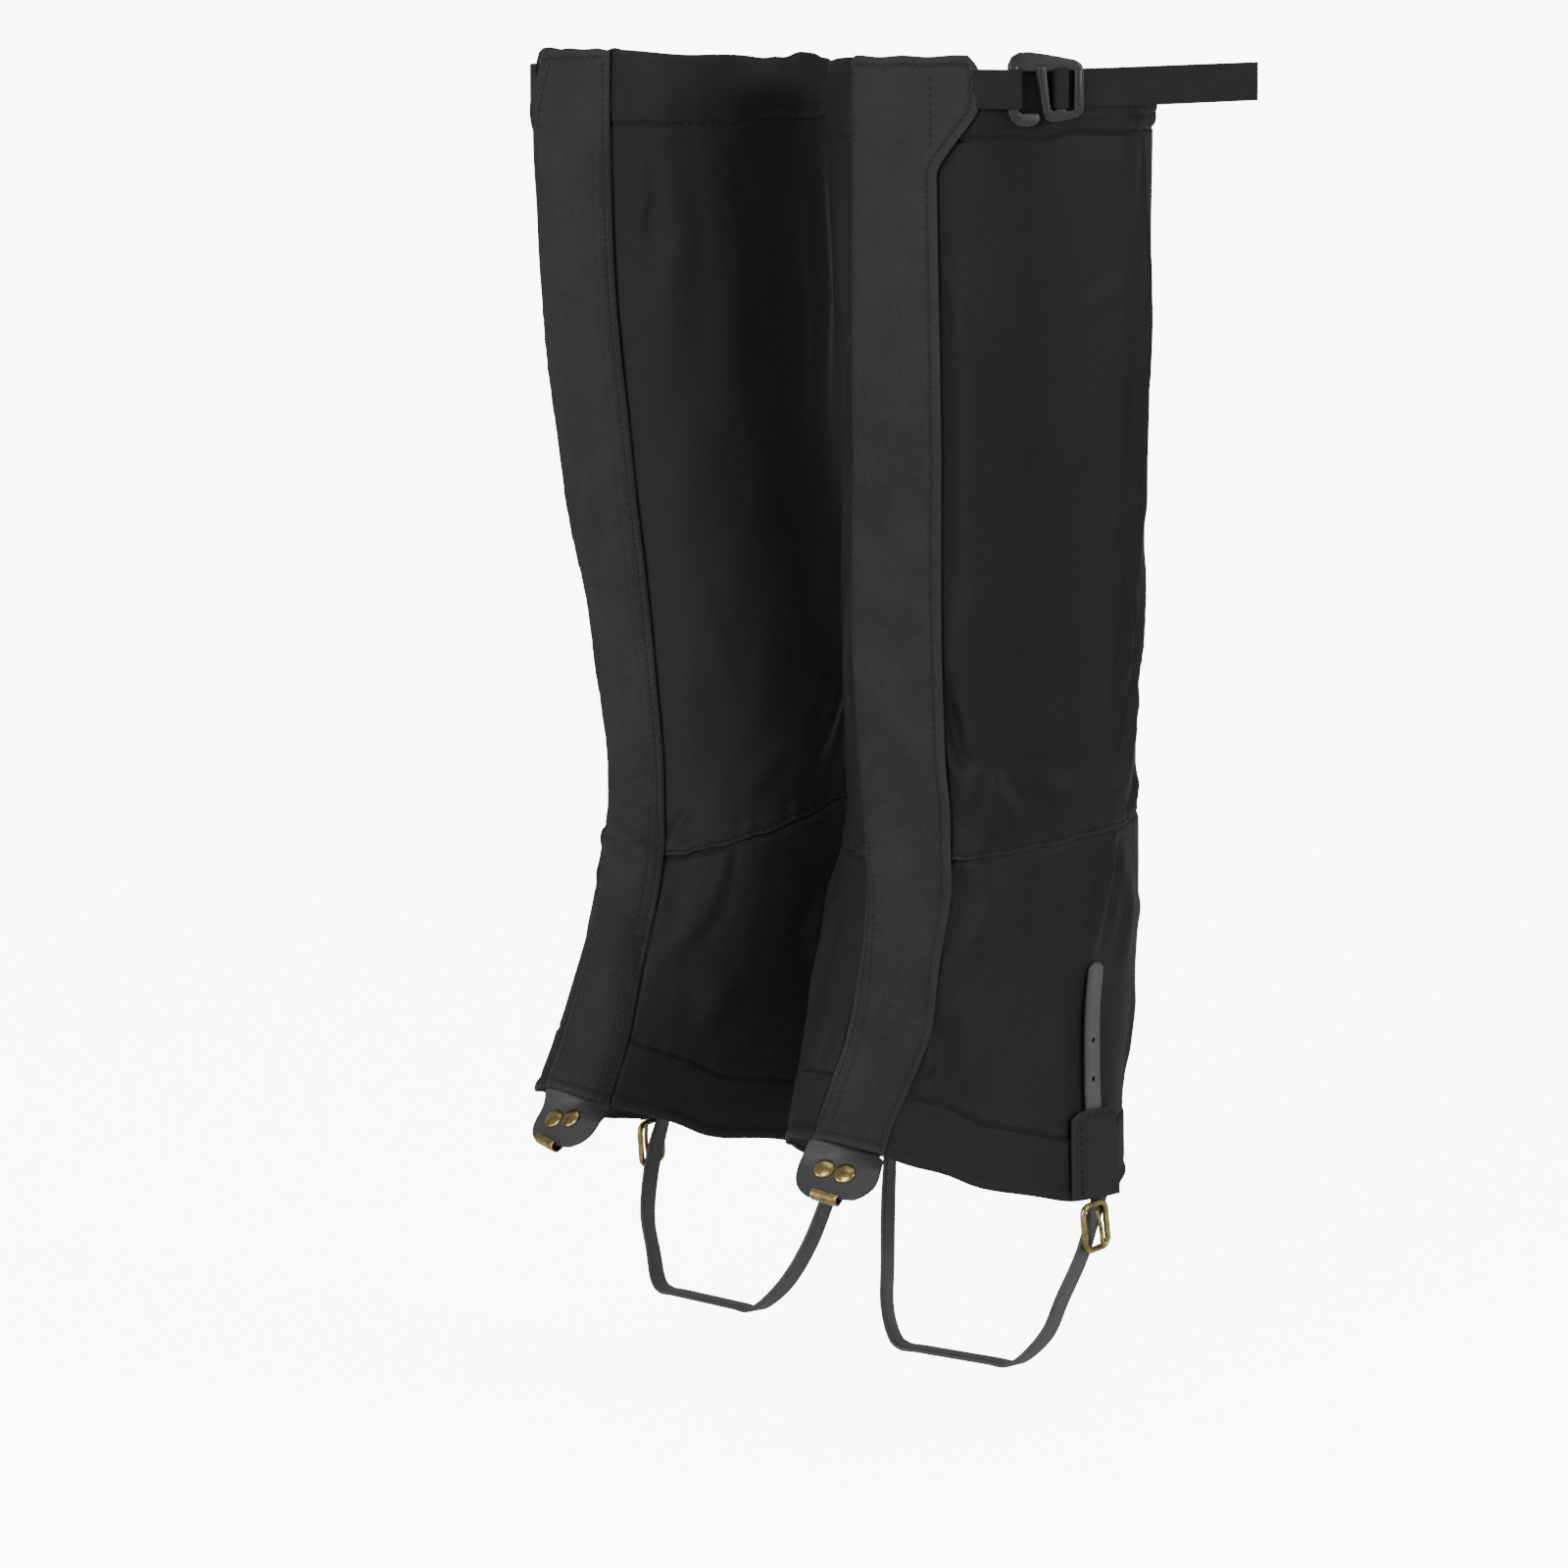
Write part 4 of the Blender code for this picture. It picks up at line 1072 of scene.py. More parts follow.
class Effect(Enum):
    """The effects that more than one material uses."""
    WEAVE = "weave"
    MOTTLE = "mottle"
    WEAR = "edge_wear"


class Effects:
    """Builds each shared effect once, as a node group."""

    def __init__(self) -> None:
        """Builds the groups."""
        self.groups = {Effect.WEAVE: self.weave(), Effect.MOTTLE: self.mottle(), Effect.WEAR: self.wear()}

    @staticmethod
    def start(effect: Effect, place: str, numbers: tuple[str, ...], made: tuple[str, ...]) -> tuple:
        """A new group with its sockets.

        Args:
            effect: which effect it is.
            place: the name of the place that it reads.
            numbers: the names of the numbers that it takes.
            made: the names of the numbers that it gives.

        Returns:
            Its sheet, the sockets to read from and the sockets to feed.
        """
        tree = bpy.data.node_groups.new(effect.value, "ShaderNodeTree")
        tree.interface.new_socket(place, in_out="INPUT", socket_type="NodeSocketVector")
        for way, names in (("INPUT", numbers), ("OUTPUT", made)):
            for name in names:
                tree.interface.new_socket(name, in_out=way, socket_type="NodeSocketFloat")
        sheet = NodeSheet(tree)
        return sheet, sheet.node("NodeGroupInput").outputs, sheet.node("NodeGroupOutput").inputs

    def weave(self) -> bpy.types.NodeTree:
        """Crossing threads on cloth coordinates in millimetres.

        Returns:
            The group.
        """
        sheet, given, made = self.start(Effect.WEAVE, "Cloth", ("Pitch", "Unevenness"), ("Height", "Thread"))
        cloth = given["Cloth"]
        shift = sheet.times(sheet.math("SUBTRACT", sheet.noise(cloth, 0.35), 0.5), given["Unevenness"])
        waves = []
        for run in sheet.axes(cloth)[:2]:
            turns = sheet.add(sheet.math("DIVIDE", run, given["Pitch"]), shift)
            waves.append(sheet.math("SINE", sheet.times(turns, math.pi)))
        warp, weft = (sheet.math("ABSOLUTE", wave) for wave in waves)
        which = sheet.add(sheet.times(sheet.times(*waves), 0.5), 0.5)
        sheet.feed(made["Height"], sheet.add(
            sheet.times(warp, which), sheet.times(weft, sheet.math("SUBTRACT", 1.0, which))))
        slubs = []
        for scale in ((0.12, 1.6, 1.0), (1.6, 0.12, 1.0)):
            drawn_out = sheet.node("ShaderNodeMapping", {"Vector": cloth, "Scale": scale}).outputs[0]
            slubs.append(sheet.times(sheet.noise(drawn_out, 1.0), 0.5))
        sheet.feed(made["Thread"], sheet.add(*slubs))
        return sheet.tree

    def mottle(self) -> bpy.types.NodeTree:
        """Broad and fine unevenness on object coordinates.

        Returns:
            The group.
        """
        sheet, given, made = self.start(Effect.MOTTLE, "Place", ("Broad Scale", "Fine Scale"), ("Broad", "Fine"))
        for name, detail in (("Broad", 3.0), ("Fine", 2.0)):
            sheet.feed(made[name], sheet.noise(given["Place"], given[f"{name} Scale"], detail))
        return sheet.tree

    def wear(self) -> bpy.types.NodeTree:
        """Rubbed rims, broken up by noise.

        Returns:
            The group.
        """
        sheet, given, made = self.start(Effect.WEAR, "Place", ("Rim", "Amount"), ("Mask",))
        patchy = sheet.about(sheet.noise(given["Place"], 90.0, 3.0), 0.7, 1.6)
        spread = sheet.times(given["Rim"], patchy, clamp=True)
        sheet.feed(made["Mask"], sheet.times(spread, given["Amount"], clamp=True))
        return sheet.tree


class Swatch(NodeSheet):
    """A new material on object coordinates, with the unevenness that every finish has."""

    def __init__(self, name: str, effects: Effects, broad: float, fine: float) -> None:
        """Starts the material.

        Args:
            name: the material's name.
            effects: the shared node groups.
            broad: scale of the broad unevenness.
            fine: scale of the fine unevenness.
        """
        self.material = bpy.data.materials.new(name)
        self.material.use_nodes = True
        super().__init__(self.material.node_tree)
        self.shader = self.tree.nodes["Principled BSDF"]
        self.effects = effects
        self.place = self.node("ShaderNodeTexCoord").outputs["Object"]
        mottle = self.use(Effect.MOTTLE, {"Place": self.place, "Broad Scale": broad, "Fine Scale": fine})
        self.broad, self.fine = mottle["Broad"], mottle["Fine"]

    def use(self, effect: Effect, inputs: dict[str, object]) -> bpy.types.bpy_prop_collection:
        """Places a shared group and gives its outputs."""
        return self.node("ShaderNodeGroup", inputs, node_tree=self.effects.groups[effect]).outputs

    def cloth(self) -> Socket:
        """The piece's cloth coordinates in millimetres."""
        return self.node("ShaderNodeUVMap", uv_map=CLOTH_UV).outputs[0]

    def rubbed(self, colour: Socket, worn: Colour, amount: float) -> Socket:
        """A colour with rubbed rims.

        Args:
            colour: the colour.
            worn: its colour where rubbed.
            amount: how much it is rubbed.

        Returns:
            The colour.
        """
        rim = self.node("ShaderNodeAttribute", attribute_name=RIM).outputs["Fac"]
        mask = self.use(Effect.WEAR, {"Rim": rim, "Place": self.place, "Amount": amount})["Mask"]
        return self.blend(mask, colour, worn)

    def finished(self, colour: Socket, roughness: object, relief: Socket | None, specular: float = 0.5,
                 metallic: float = 0.0) -> Material:
        """Feeds the shader.

        Args:
            colour: the base colour.
            roughness: from 0 to 1.
            relief: height in millimetres, or None where the face is plain.
            specular: the shader's own level.
            metallic: 1 for metal.

        Returns:
            The material.
        """
        inputs = self.shader.inputs
        self.feed(inputs["Base Color"], colour)
        self.feed(inputs["Roughness"], roughness)
        inputs["Specular IOR Level"].default_value = specular
        inputs["Metallic"].default_value = metallic
        if relief is not None:
            bump = self.node("ShaderNodeBump", {"Height": relief, "Strength": 1.0, "Distance": MM})
            self.feed(inputs["Normal"], bump.outputs[0])
        return self.material


@dataclass(frozen=True)
class Finish:
    """What every finish has: a name and the two colours that it varies between."""
    name: str
    dark: Colour
    light: Colour

    def material(self, effects: Effects) -> Material:
        """Builds the finish's material; each kind of finish does it in its own way.

        Args:
            effects: the shared node groups.

        Returns:
            The material.
        """
        raise NotImplementedError(self.name)


@dataclass(frozen=True)
class ClothFinish(Finish):
    """Woven synthetic cloth, paler near its top where it is faded."""
    roughness: float
    pitch: float
    relief: float
    specular: float = 0.3
    wear: float = 0.25
    worn: Colour = (0.05, 0.05, 0.05)
    patch_scale: float = 55.0
    faded: Colour | None = None
    broad_gain: float = 0.9
    thread_gain: float = 0.8
    crumple: float = 0.35
    fade_from: float = -0.16
    fade_gain: float = 2.6

    def material(self, effects: Effects) -> Material:
        """As Finish says.

        Args:
            effects: the shared node groups.

        Returns:
            The material.
        """
        sheet = Swatch(self.name, effects, self.patch_scale, 420.0)
        weave = sheet.use(Effect.WEAVE, {"Cloth": sheet.cloth(), "Pitch": self.pitch, "Unevenness": 0.5})
        share = sheet.add(sheet.about(sheet.broad, 0.5, self.broad_gain),
                          sheet.about(weave["Thread"], 0.0, self.thread_gain))
        share = sheet.add(share, sheet.about(sheet.fine, 0.0, 0.5), clamp=True)
        # Painted shade: the colour follows the weave's height, lighter on the thread crowns and darker in the gaps
        # between the threads.
        share = sheet.add(share, sheet.about(weave["Height"], 0.0, 0.4), clamp=True)
        colour = sheet.blend(share, self.dark, self.light)
        if self.faded:
            near_top = sheet.times(sheet.add(sheet.axes(sheet.place)[2], -self.fade_from), self.fade_gain, clamp=True)
            colour = sheet.blend(near_top, colour, sheet.blend(share, self.light, self.faded))
        relief = sheet.add(sheet.times(weave["Height"], self.relief), sheet.times(sheet.fine, 0.35 * self.relief))
        relief = sheet.add(relief, sheet.times(sheet.noise(sheet.place, 70.0, 3.0), self.crumple))
        return sheet.finished(sheet.rubbed(colour, self.worn, self.wear),
                              sheet.about(sheet.fine, self.roughness, 0.12), relief, self.specular)


@dataclass(frozen=True)
class WebbingFinish(Finish):
    """Narrow woven webbing with ribs across it."""
    rib: float
    relief: float
    lane: float = 1.25

    def material(self, effects: Effects) -> Material:
        """As Finish says.

        Args:
            effects: the shared node groups.

        Returns:
            The material.
        """
        sheet = Swatch(self.name, effects, 40.0, 700.0)
        cloth = sheet.cloth()
        along, across = sheet.axes(cloth)[:2]
        weave = sheet.use(Effect.WEAVE, {"Cloth": cloth, "Pitch": 0.5, "Unevenness": 0.3})
        height = sheet.add(sheet.times(sheet.ribs(along, self.rib), 0.6),
                           sheet.times(sheet.ribs(across, self.lane), 0.4))
        # Painted shade: the colour follows the ribs' height, lighter on the rib crests and darker in the grooves
        # between them.
        share = sheet.add(sheet.about(height, 0.5, 0.7), sheet.about(sheet.broad, 0.0, 0.8), clamp=True)
        relief = sheet.add(sheet.times(height, self.relief), sheet.times(sheet.fine, 0.06))
        return sheet.finished(sheet.blend(share, self.dark, self.light), sheet.about(weave["Thread"], 0.75, 0.2),
                              relief, 0.3)


@dataclass(frozen=True)
class CoatedFinish(Finish):
    """Coated strap material with a fine pebbled grain and duller cut edges."""
    edge: Colour
    roughness: float
    grain: float

    def material(self, effects: Effects) -> Material:
        """As Finish says.

        Args:
            effects: the shared node groups.

        Returns:
            The material.
        """
        sheet = Swatch(self.name, effects, 45.0, 900.0)
        pebbles = sheet.node("ShaderNodeTexVoronoi", {"Vector": sheet.place, "Scale": 1500.0}, feature="SMOOTH_F1")
        share = sheet.add(sheet.about(sheet.broad, 0.5, 1.2), sheet.about(sheet.fine, 0.0, 0.4), clamp=True)
        relief = sheet.add(sheet.times(pebbles.outputs[0], self.grain), sheet.times(sheet.broad, 0.12))
        return sheet.finished(sheet.rubbed(sheet.blend(share, self.dark, self.light), self.edge, 0.85),
                              sheet.about(sheet.fine, self.roughness, 0.15), relief, 0.4)


@dataclass(frozen=True)
class PlasticFinish(Finish):
    """Moulded satin plastic."""
    roughness: float

    def material(self, effects: Effects) -> Material:
        """As Finish says.

        Args:
            effects: the shared node groups.

        Returns:
            The material.
        """
        sheet = Swatch(self.name, effects, 120.0, 2200.0)
        return sheet.finished(sheet.blend(sheet.broad, self.dark, self.light),
                              sheet.about(sheet.broad, self.roughness, 0.15), sheet.times(sheet.fine, 0.03))


@dataclass(frozen=True)
class BrassFinish(Finish):
    """Antique brass plating, varied by noise between a light and a dark tone."""
    roughness: float

    def material(self, effects: Effects) -> Material:
        """As Finish says.

        Args:
            effects: the shared node groups.

        Returns:
            The material.
        """
        sheet = Swatch(self.name, effects, 260.0, 1400.0)
        share = sheet.add(sheet.about(sheet.broad, 0.45, 2.2), sheet.about(sheet.fine, 0.0, 0.6), clamp=True)
        return sheet.finished(sheet.blend(share, self.light, self.dark),
                              sheet.about(sheet.broad, self.roughness, 0.35), sheet.times(sheet.fine, 0.05),
                              metallic=1.0)


@dataclass(frozen=True)
class ThreadFinish(Finish):
    """Twisted sewing thread."""

    def material(self, effects: Effects) -> Material:
        """As Finish says.

        Args:
            effects: the shared node groups.

        Returns:
            The material.
        """
        sheet = Swatch(self.name, effects, 30.0, 2500.0)
        return sheet.finished(sheet.blend(sheet.fine, self.dark, self.light), sheet.about(sheet.broad, 0.7, 0.2),
                              sheet.times(sheet.fine, 0.08), 0.25)


@dataclass(frozen=True)
class FloorFinish(Finish):
    """A plain pale floor, brighter to the eye than the light that it throws back."""
    glow: float

    def material(self, effects: Effects) -> Material:
        """As Finish says.

        Args:
            effects: the shared node groups.

        Returns:
            The material.
        """
        sheet = Swatch(self.name, effects, 2.0, 60.0)
        material = sheet.finished(sheet.blend(sheet.broad, self.dark, self.light), 0.9, None, 0.1)
        plain = sheet.shader.outputs[0]
        glowing = sheet.node("ShaderNodeEmission", {"Color": WHITE, "Strength": self.glow})
        both = sheet.node("ShaderNodeAddShader", {0: plain, 1: glowing.outputs[0]})
        sheet.seen_apart(plain, both.outputs[0], "Material Output")
        return material


class Slot(Enum):
    """The record's material slots."""
    LEG = "leg_cloth"
    ANKLE = "ankle_cloth"
    FLAP = "flap_cloth"
    TAPE = "closure_tape"
    WEBBING = "webbing"
    STRAP = "strap_leather"
    PLASTIC = "buckle_plastic"
    BRASS = "brass"


class Look(Enum):
    """Every finish of the pair."""
    LEG = ClothFinish("smooth_nylon", (0.0060, 0.0060, 0.0062), (0.0112, 0.0112, 0.0115), 0.60, 0.55, 0.030,
                      specular=0.18, patch_scale=26.0)
    ANKLE = ClothFinish("heavy_nylon", (0.0068, 0.0068, 0.0069), (0.0130, 0.0130, 0.0130), 0.62, 0.8, 0.055,
                        specular=0.18, patch_scale=30.0)
    FLAP = ClothFinish("flap_canvas", (0.0105, 0.0105, 0.0104), (0.0280, 0.0280, 0.0277), 0.8, 1.05, 0.12,
                       specular=0.20, wear=0.6, worn=(0.044, 0.044, 0.0432), patch_scale=42.0,
                       faded=(0.036, 0.036, 0.0335))
    PATCH = ClothFinish("patch_cloth", (0.0130, 0.0130, 0.0130), (0.0220, 0.0220, 0.0218), 0.75, 0.8, 0.08,
                        specular=0.20, wear=0.4, worn=(0.035, 0.035, 0.034))
    TAPE = ClothFinish("hook_tape", (0.006, 0.006, 0.006), (0.012, 0.012, 0.012), 0.9, 1.3, 0.40, specular=0.2)
    WEBBING = WebbingFinish("ribbed_webbing", (0.0038, 0.0038, 0.0040), (0.0088, 0.0088, 0.0090), 1.3, 0.16)
    STRAP = CoatedFinish("coated_strap", (0.055, 0.055, 0.057), (0.082, 0.082, 0.084), (0.030, 0.030, 0.031),
                         0.5, 0.04)
    TAB = CoatedFinish("coated_tab", (0.026, 0.026, 0.0262), (0.042, 0.042, 0.0422), (0.020, 0.020, 0.0203),
                       0.55, 0.05)
    PLASTIC = PlasticFinish("satin_plastic", (0.0085, 0.0085, 0.0087), (0.0145, 0.0145, 0.0148), 0.38)
    BRASS = BrassFinish("antique_brass", (0.15, 0.112, 0.046), (0.44, 0.345, 0.135), 0.26)
    THREAD = ThreadFinish("black_thread", (0.007, 0.007, 0.007), (0.016, 0.016, 0.016))
    FLAP_THREAD = ThreadFinish("flap_thread", (0.010, 0.010, 0.0095), (0.024, 0.024, 0.022))


Wardrobe = dict[Look, Material]


# -------- the cloth round the leg

@dataclass(frozen=True)
class Part:
    """One sub-assembly of a gaiter."""
    leg: LegForm

    def build(self, finish: Wardrobe) -> None:
        """Builds its pieces, each kind of part in its own way.

        Args:
            finish: the materials.
        """
        raise NotImplementedError(self.leg.name)


@dataclass(frozen=True)
class Cloth(Part):
    """One sewn sheet of a gaiter."""
    wall: float = 1.2

    def lift(self, angle: Array, height: Array) -> Array:
        """Millimetres that the cloth stands outside the folded form; each sheet has its own."""
        raise NotImplementedError(self.leg.name)

    def surface(self, angle: Array, height: Array, more: float = 0.0) -> Surface:
        """The sheet's outer face, or a level above it."""
        return self.leg.surface(angle, height, self.lift(angle, height) + more)

    def laid(self, name: str, angle: Array, height: Array, stretch: float = MM_PER_DEGREE) -> Piece:
        """The sheet through a grid of its places.

        Args:
            name: the piece's name without its side.
            angle: degrees round the leg.
            height: millimetres above the ground.
            stretch: millimetres of cloth in a degree.

        Returns:
            The sheet, not yet dressed.
        """
        outer, out = self.surface(angle, height)
        uv = np.stack([angle * stretch, height], -1)
        return cloth_shell(f"{self.leg.name}_{name}", outer, out, self.wall, uv)


@dataclass(frozen=True)
class RoundCloth(Cloth):
    """A sheet that goes round the leg, from under the flap to the flap's inner seam."""
    step: float = 2.0
    marks: Row = ()
    round_length: float = 0.0
    tall: float = 0.0

    def edges(self, angle: Array) -> list[Array]:
        """The heights of the sheet's marks at an angle; each sheet has its own."""
        raise NotImplementedError(self.leg.name)

    def grid(self, lines: Row) -> Surface:
        """Angles and heights of a grid on the sheet, finer beside its stitch lines.

        Args:
            lines: places that need narrow detail, in millimetres.

        Returns:
            The angle and the height of each place.
        """
        half, long = self.wall / 2, self.round_length
        across, up = np.meshgrid(graded(long, self.step, half, (4.5, long - 5.0), 1.0) / long,
                                 graded(self.tall, self.step, half, lines, 0.5))
        angle = np.zeros(across.shape)
        height = fitted(up, self.marks, self.edges(angle))
        for _ in range(SETTLE_ROUNDS):
            start, end = self.leg.panel_edges(height)
            angle = start + (end - start) * across
            height = fitted(up, self.marks, self.edges(angle))
        return angle, height

    def beside_flap(self, height: float, count: int) -> Array:
        """Angles from the flap's free edge round to its inner seam."""
        inner, outer = self.leg.flap_edges(height)
        return np.linspace(outer + 1, inner + 359, count)


@dataclass(frozen=True)
class LegCloth(RoundCloth):
    """The calf's cloth with the casing for the elastic at its top, one piece turned over at the upper edge."""
    marks: Row = (0.0, 14.0, 266.0, 285.0, 300.0)
    topstitch: float = 1.9
    second_row: float = 5.5
    round_length: float = 375.0
    tall: float = 300.0
    casing_line: float = 276.0
    flat_width: float = 0.40
    flat_length: float = 0.310

    def casing_stitch(self, angle: Array) -> Array:
        """Height of the casing's lower stitch line."""
        wander = 0.35 * np.sin(np.radians(angle) * 13 + self.leg.seed) + 0.25 * np.sin(np.radians(angle) * 29)
        return CASING_LOW - 1.5 * ease((72 - np.abs(wrapped(angle))) / 6.0) + wander

    def gathered(self, angle: Array) -> Array:
        """0 at the front of the leg, 1 where the elastic gathers the cloth."""
        return ease((np.abs(wrapped(angle)) - 62) / 22.0)

    def top(self, angle: Array) -> Array:
        """Height of the upper edge, a little lower behind and softly gathered by the elastic.

        Args:
            angle: degrees round the leg.

        Returns:
            Millimetres above the ground.
        """
        gather = self.gathered(angle)
        turn = np.radians(angle)
        behind = ease((np.abs(wrapped(angle)) - 96) / 40.0)
        from_seam = self.leg.flap_edges(TOP_EDGE)[0] - wrapped(angle)
        inner = (ease(from_seam / 4.0 + 1.0) + 1.6 * ease((34.0 - from_seam) / 34.0) * (from_seam > -4.0)
                 ) * (1 - behind)
        wave = np.sin(turn * 23 + 1.3 * np.sin(turn * 5)) + 0.6 * np.sin(turn * 37 + self.leg.seed)
        slow = 0.7 * np.sin(turn * 7 + self.leg.seed) + 0.4 * np.sin(turn * 11 + 1.0)
        return TOP_EDGE + 0.6 - 5.4 * behind + 1.5 * inner + (0.4 + 0.6 * gather) * slow - 0.35 * gather * (1 + wave)

    def seam(self, angle: Array) -> Array:
        """Height of the lower edge, which wavers a little where it is sewn down."""
        turn = np.radians(angle)
        return self.leg.seam_height(angle) + 0.35 * np.sin(turn * 21 + self.leg.seed) + 0.2 * np.sin(turn * 45)

    def edges(self, angle: Array) -> list[Array]:
        """The heights of the marks at an angle."""
        seam, stitch = self.seam(angle), self.casing_stitch(angle)
        return [seam, seam + 14.0, stitch - 10.0, stitch + 9.0, self.top(angle)]

    def lift(self, angle: Array, height: Array) -> Array:
        """Millimetres that the cloth stands outside the folded form.

        Args:
            angle: degrees round the leg.
            height: millimetres above the ground.

        Returns:
            Millimetres outward.
        """
        leg, turn = self.leg, np.radians(angle)
        above, stitch, gather = height - self.seam(angle), self.casing_stitch(angle), self.gathered(angle)
        over = height - stitch
        free = 1 - leg.under_flap(angle, height)
        total = (0.5 * ease((11.0 - above) / 9.0) - 0.34 * bell(above - self.topstitch, 0.8)
                 - 0.2 * bell(above - self.topstitch - 5.0, 0.7)) * (0.3 + 0.7 * free)
        share = over / (self.top(angle) - stitch)
        tube = np.sin(np.pi * np.clip(share, 0, 1)) ** 0.6
        total += np.where(share > 0, (0.5 + (0.5 + 0.45 * gather) * free) * tube, 0.0)
        total -= 0.75 * bell(over, 0.85)
        behind = ease((np.abs(wrapped(angle)) - 92) / 22.0)
        total -= 0.45 * behind * bell(over - self.second_row, 0.8)
        pleats = (np.sin(turn * 31 + 2.0 * np.sin(turn * 4 + leg.seed)) * 0.5
                  + np.sin(turn * 47 + 1.4 * np.sin(turn * 7)) * 0.35 + np.sin(turn * 19 + 0.7) * 0.35)
        near = ease((over + 26) / 24.0) * (0.25 + 0.75 * ease((over + 3) / 5.0))
        total += 0.52 * pleats * near * (0.2 + 0.35 * gather + 0.45 * behind) * free
        patchy = 0.5 + 0.5 * np.sin(turn * 5.0 + 1.7 * leg.seed)
        puckers = np.sin(turn * 73 + 3 * np.sin(turn * 9)) * 0.6 + np.sin(turn * 41 + 1.0) * 0.6
        total += 0.42 * puckers * bell(above - 5.0, 6.0) * patchy * free
        total += 0.22 * np.sin(turn * 90 + 2.0) * bell(over, 4.0) * free
        below = 0.25 + 0.75 * ease((stitch - height + 4) / 12.0)
        for crease in (*leg.creases, *BACK_CREASES):
            total += crease.lift(angle, height) * free * below
        total += leg.ripple(angle, height, 0.6, 1) * (0.3 + 0.7 * free)
        return total - leg.tucked(angle, height)

    def build(self, finish: Wardrobe) -> None:
        """Builds the cloth and its sewing.

        Args:
            finish: the materials.
        """
        place = self.grid((self.topstitch, self.casing_line, self.casing_line + self.second_row, self.tall - 3.0))
        piece = keep(self.laid("leg_cloth", *place), finish[Look.LEG], Slot.LEG, "leg_panel", "top_casing")
        sewing = keep(self.sewing(), finish[Look.THREAD], Slot.LEG)

    def sewing(self) -> Piece:
        """The casing's rows of stitches, a second row where the elastic runs, and the row along the lower edge.

        Returns:
            The stitches.
        """
        casing, behind, low = self.beside_flap(CASING_LOW, 700), np.linspace(74, 288, 700), self.beside_flap(232.0, 900)
        rows = ((casing, self.casing_stitch(casing)), (behind, self.casing_stitch(behind) + self.second_row),
                (low, self.seam(low) + self.topstitch))
        return stitches(f"{self.leg.name}_casing_sewing", [self.surface(*row, THREAD_RISE) for row in rows])


@dataclass(frozen=True)
class AnkleCloth(RoundCloth):
    """The heavier cloth over the ankle with the turned hem at its bottom, sewn under the calf's cloth."""
    wall: float = 1.4
    marks: Row = (0.0, 31.0, 128.0, 145.0)
    under_lap: float = 5.0
    round_length: float = 430.0
    tall: float = 145.0
    flat_width: float = 0.44
    flat_length: float = 0.148

    def edges(self, angle: Array) -> list[Array]:
        """The heights of the marks at an angle."""
        hem, seam = self.hem(angle), self.leg.seam_height(angle)
        return [hem, hem + 31.0, seam - 12.0, seam + self.under_lap]

    def hem(self, angle: Array) -> Array:
        """Height of the bottom edge, which waves a little."""
        turn, seed = np.radians(angle), self.leg.seed
        return self.leg.hem_height(angle) + 0.5 * np.sin(turn * 9 + seed) + 0.3 * np.sin(turn * 16 + 2.0 * seed)

    def lift(self, angle: Array, height: Array) -> Array:
        """Millimetres that the cloth stands outside the folded form.

        Args:
            angle: degrees round the leg.
            height: millimetres above the ground.

        Returns:
            Millimetres outward.
        """
        leg, turn = self.leg, np.radians(angle)
        free = 1 - leg.under_flap(angle, height)
        under_seam, above = leg.seam_height(angle) - height, height - self.hem(angle)
        total = 0.3 - 1.15 * ease((3.2 - under_seam) / 3.4)
        total += 0.55 * ease((HEM_DEPTH + 1.0 - above) / 3.0) * (0.4 + 0.6 * free)
        total -= 0.62 * bell(above - HEM_DEPTH, 0.85) * free
        total += 0.55 * bell(above - 2.2, 1.9) * free - 0.3 * bell(above - 5.6, 1.4) * free
        patchy = 0.5 + 0.5 * np.sin(turn * 6.0 + 2.3 * leg.seed)
        puckers = np.sin(turn * 67 + 3 * np.sin(turn * 8 + leg.seed)) * 0.6 + np.sin(turn * 43 + 2.0) * 0.5
        total += puckers * free * (0.35 * patchy * bell(under_seam - 7.0, 6.0) + 0.26 * bell(above - HEM_DEPTH, 5.0))
        inside = 0.35 + 0.65 * ease(above / 14.0) * ease((under_seam + 1.0) / 7.0)
        for crease in (*leg.low_creases, *BACK_LOW_CREASES):
            total += crease.lift(angle, height) * free * inside
        total += leg.ripple(angle, height, 0.65, 2) * (0.3 + 0.7 * free)
        return total - leg.tucked(angle, height)

    def build(self, finish: Wardrobe) -> None:
        """Builds the cloth and its sewing.

        Args:
            finish: the materials.
        """
        leg = self.leg
        place = self.grid((2.4, HEM_DEPTH, self.tall - 6.0))
        piece = keep(self.laid("ankle_cloth", *place, 1.25), finish[Look.ANKLE], Slot.ANKLE, "ankle_panel",
                     "hem_casing")
        angle = self.beside_flap(150.0, 1100)
        row = self.surface(angle, self.hem(angle) + HEM_DEPTH, THREAD_RISE)
        sewing = keep(stitches(f"{leg.name}_ankle_sewing", [row]), finish[Look.THREAD], Slot.ANKLE)


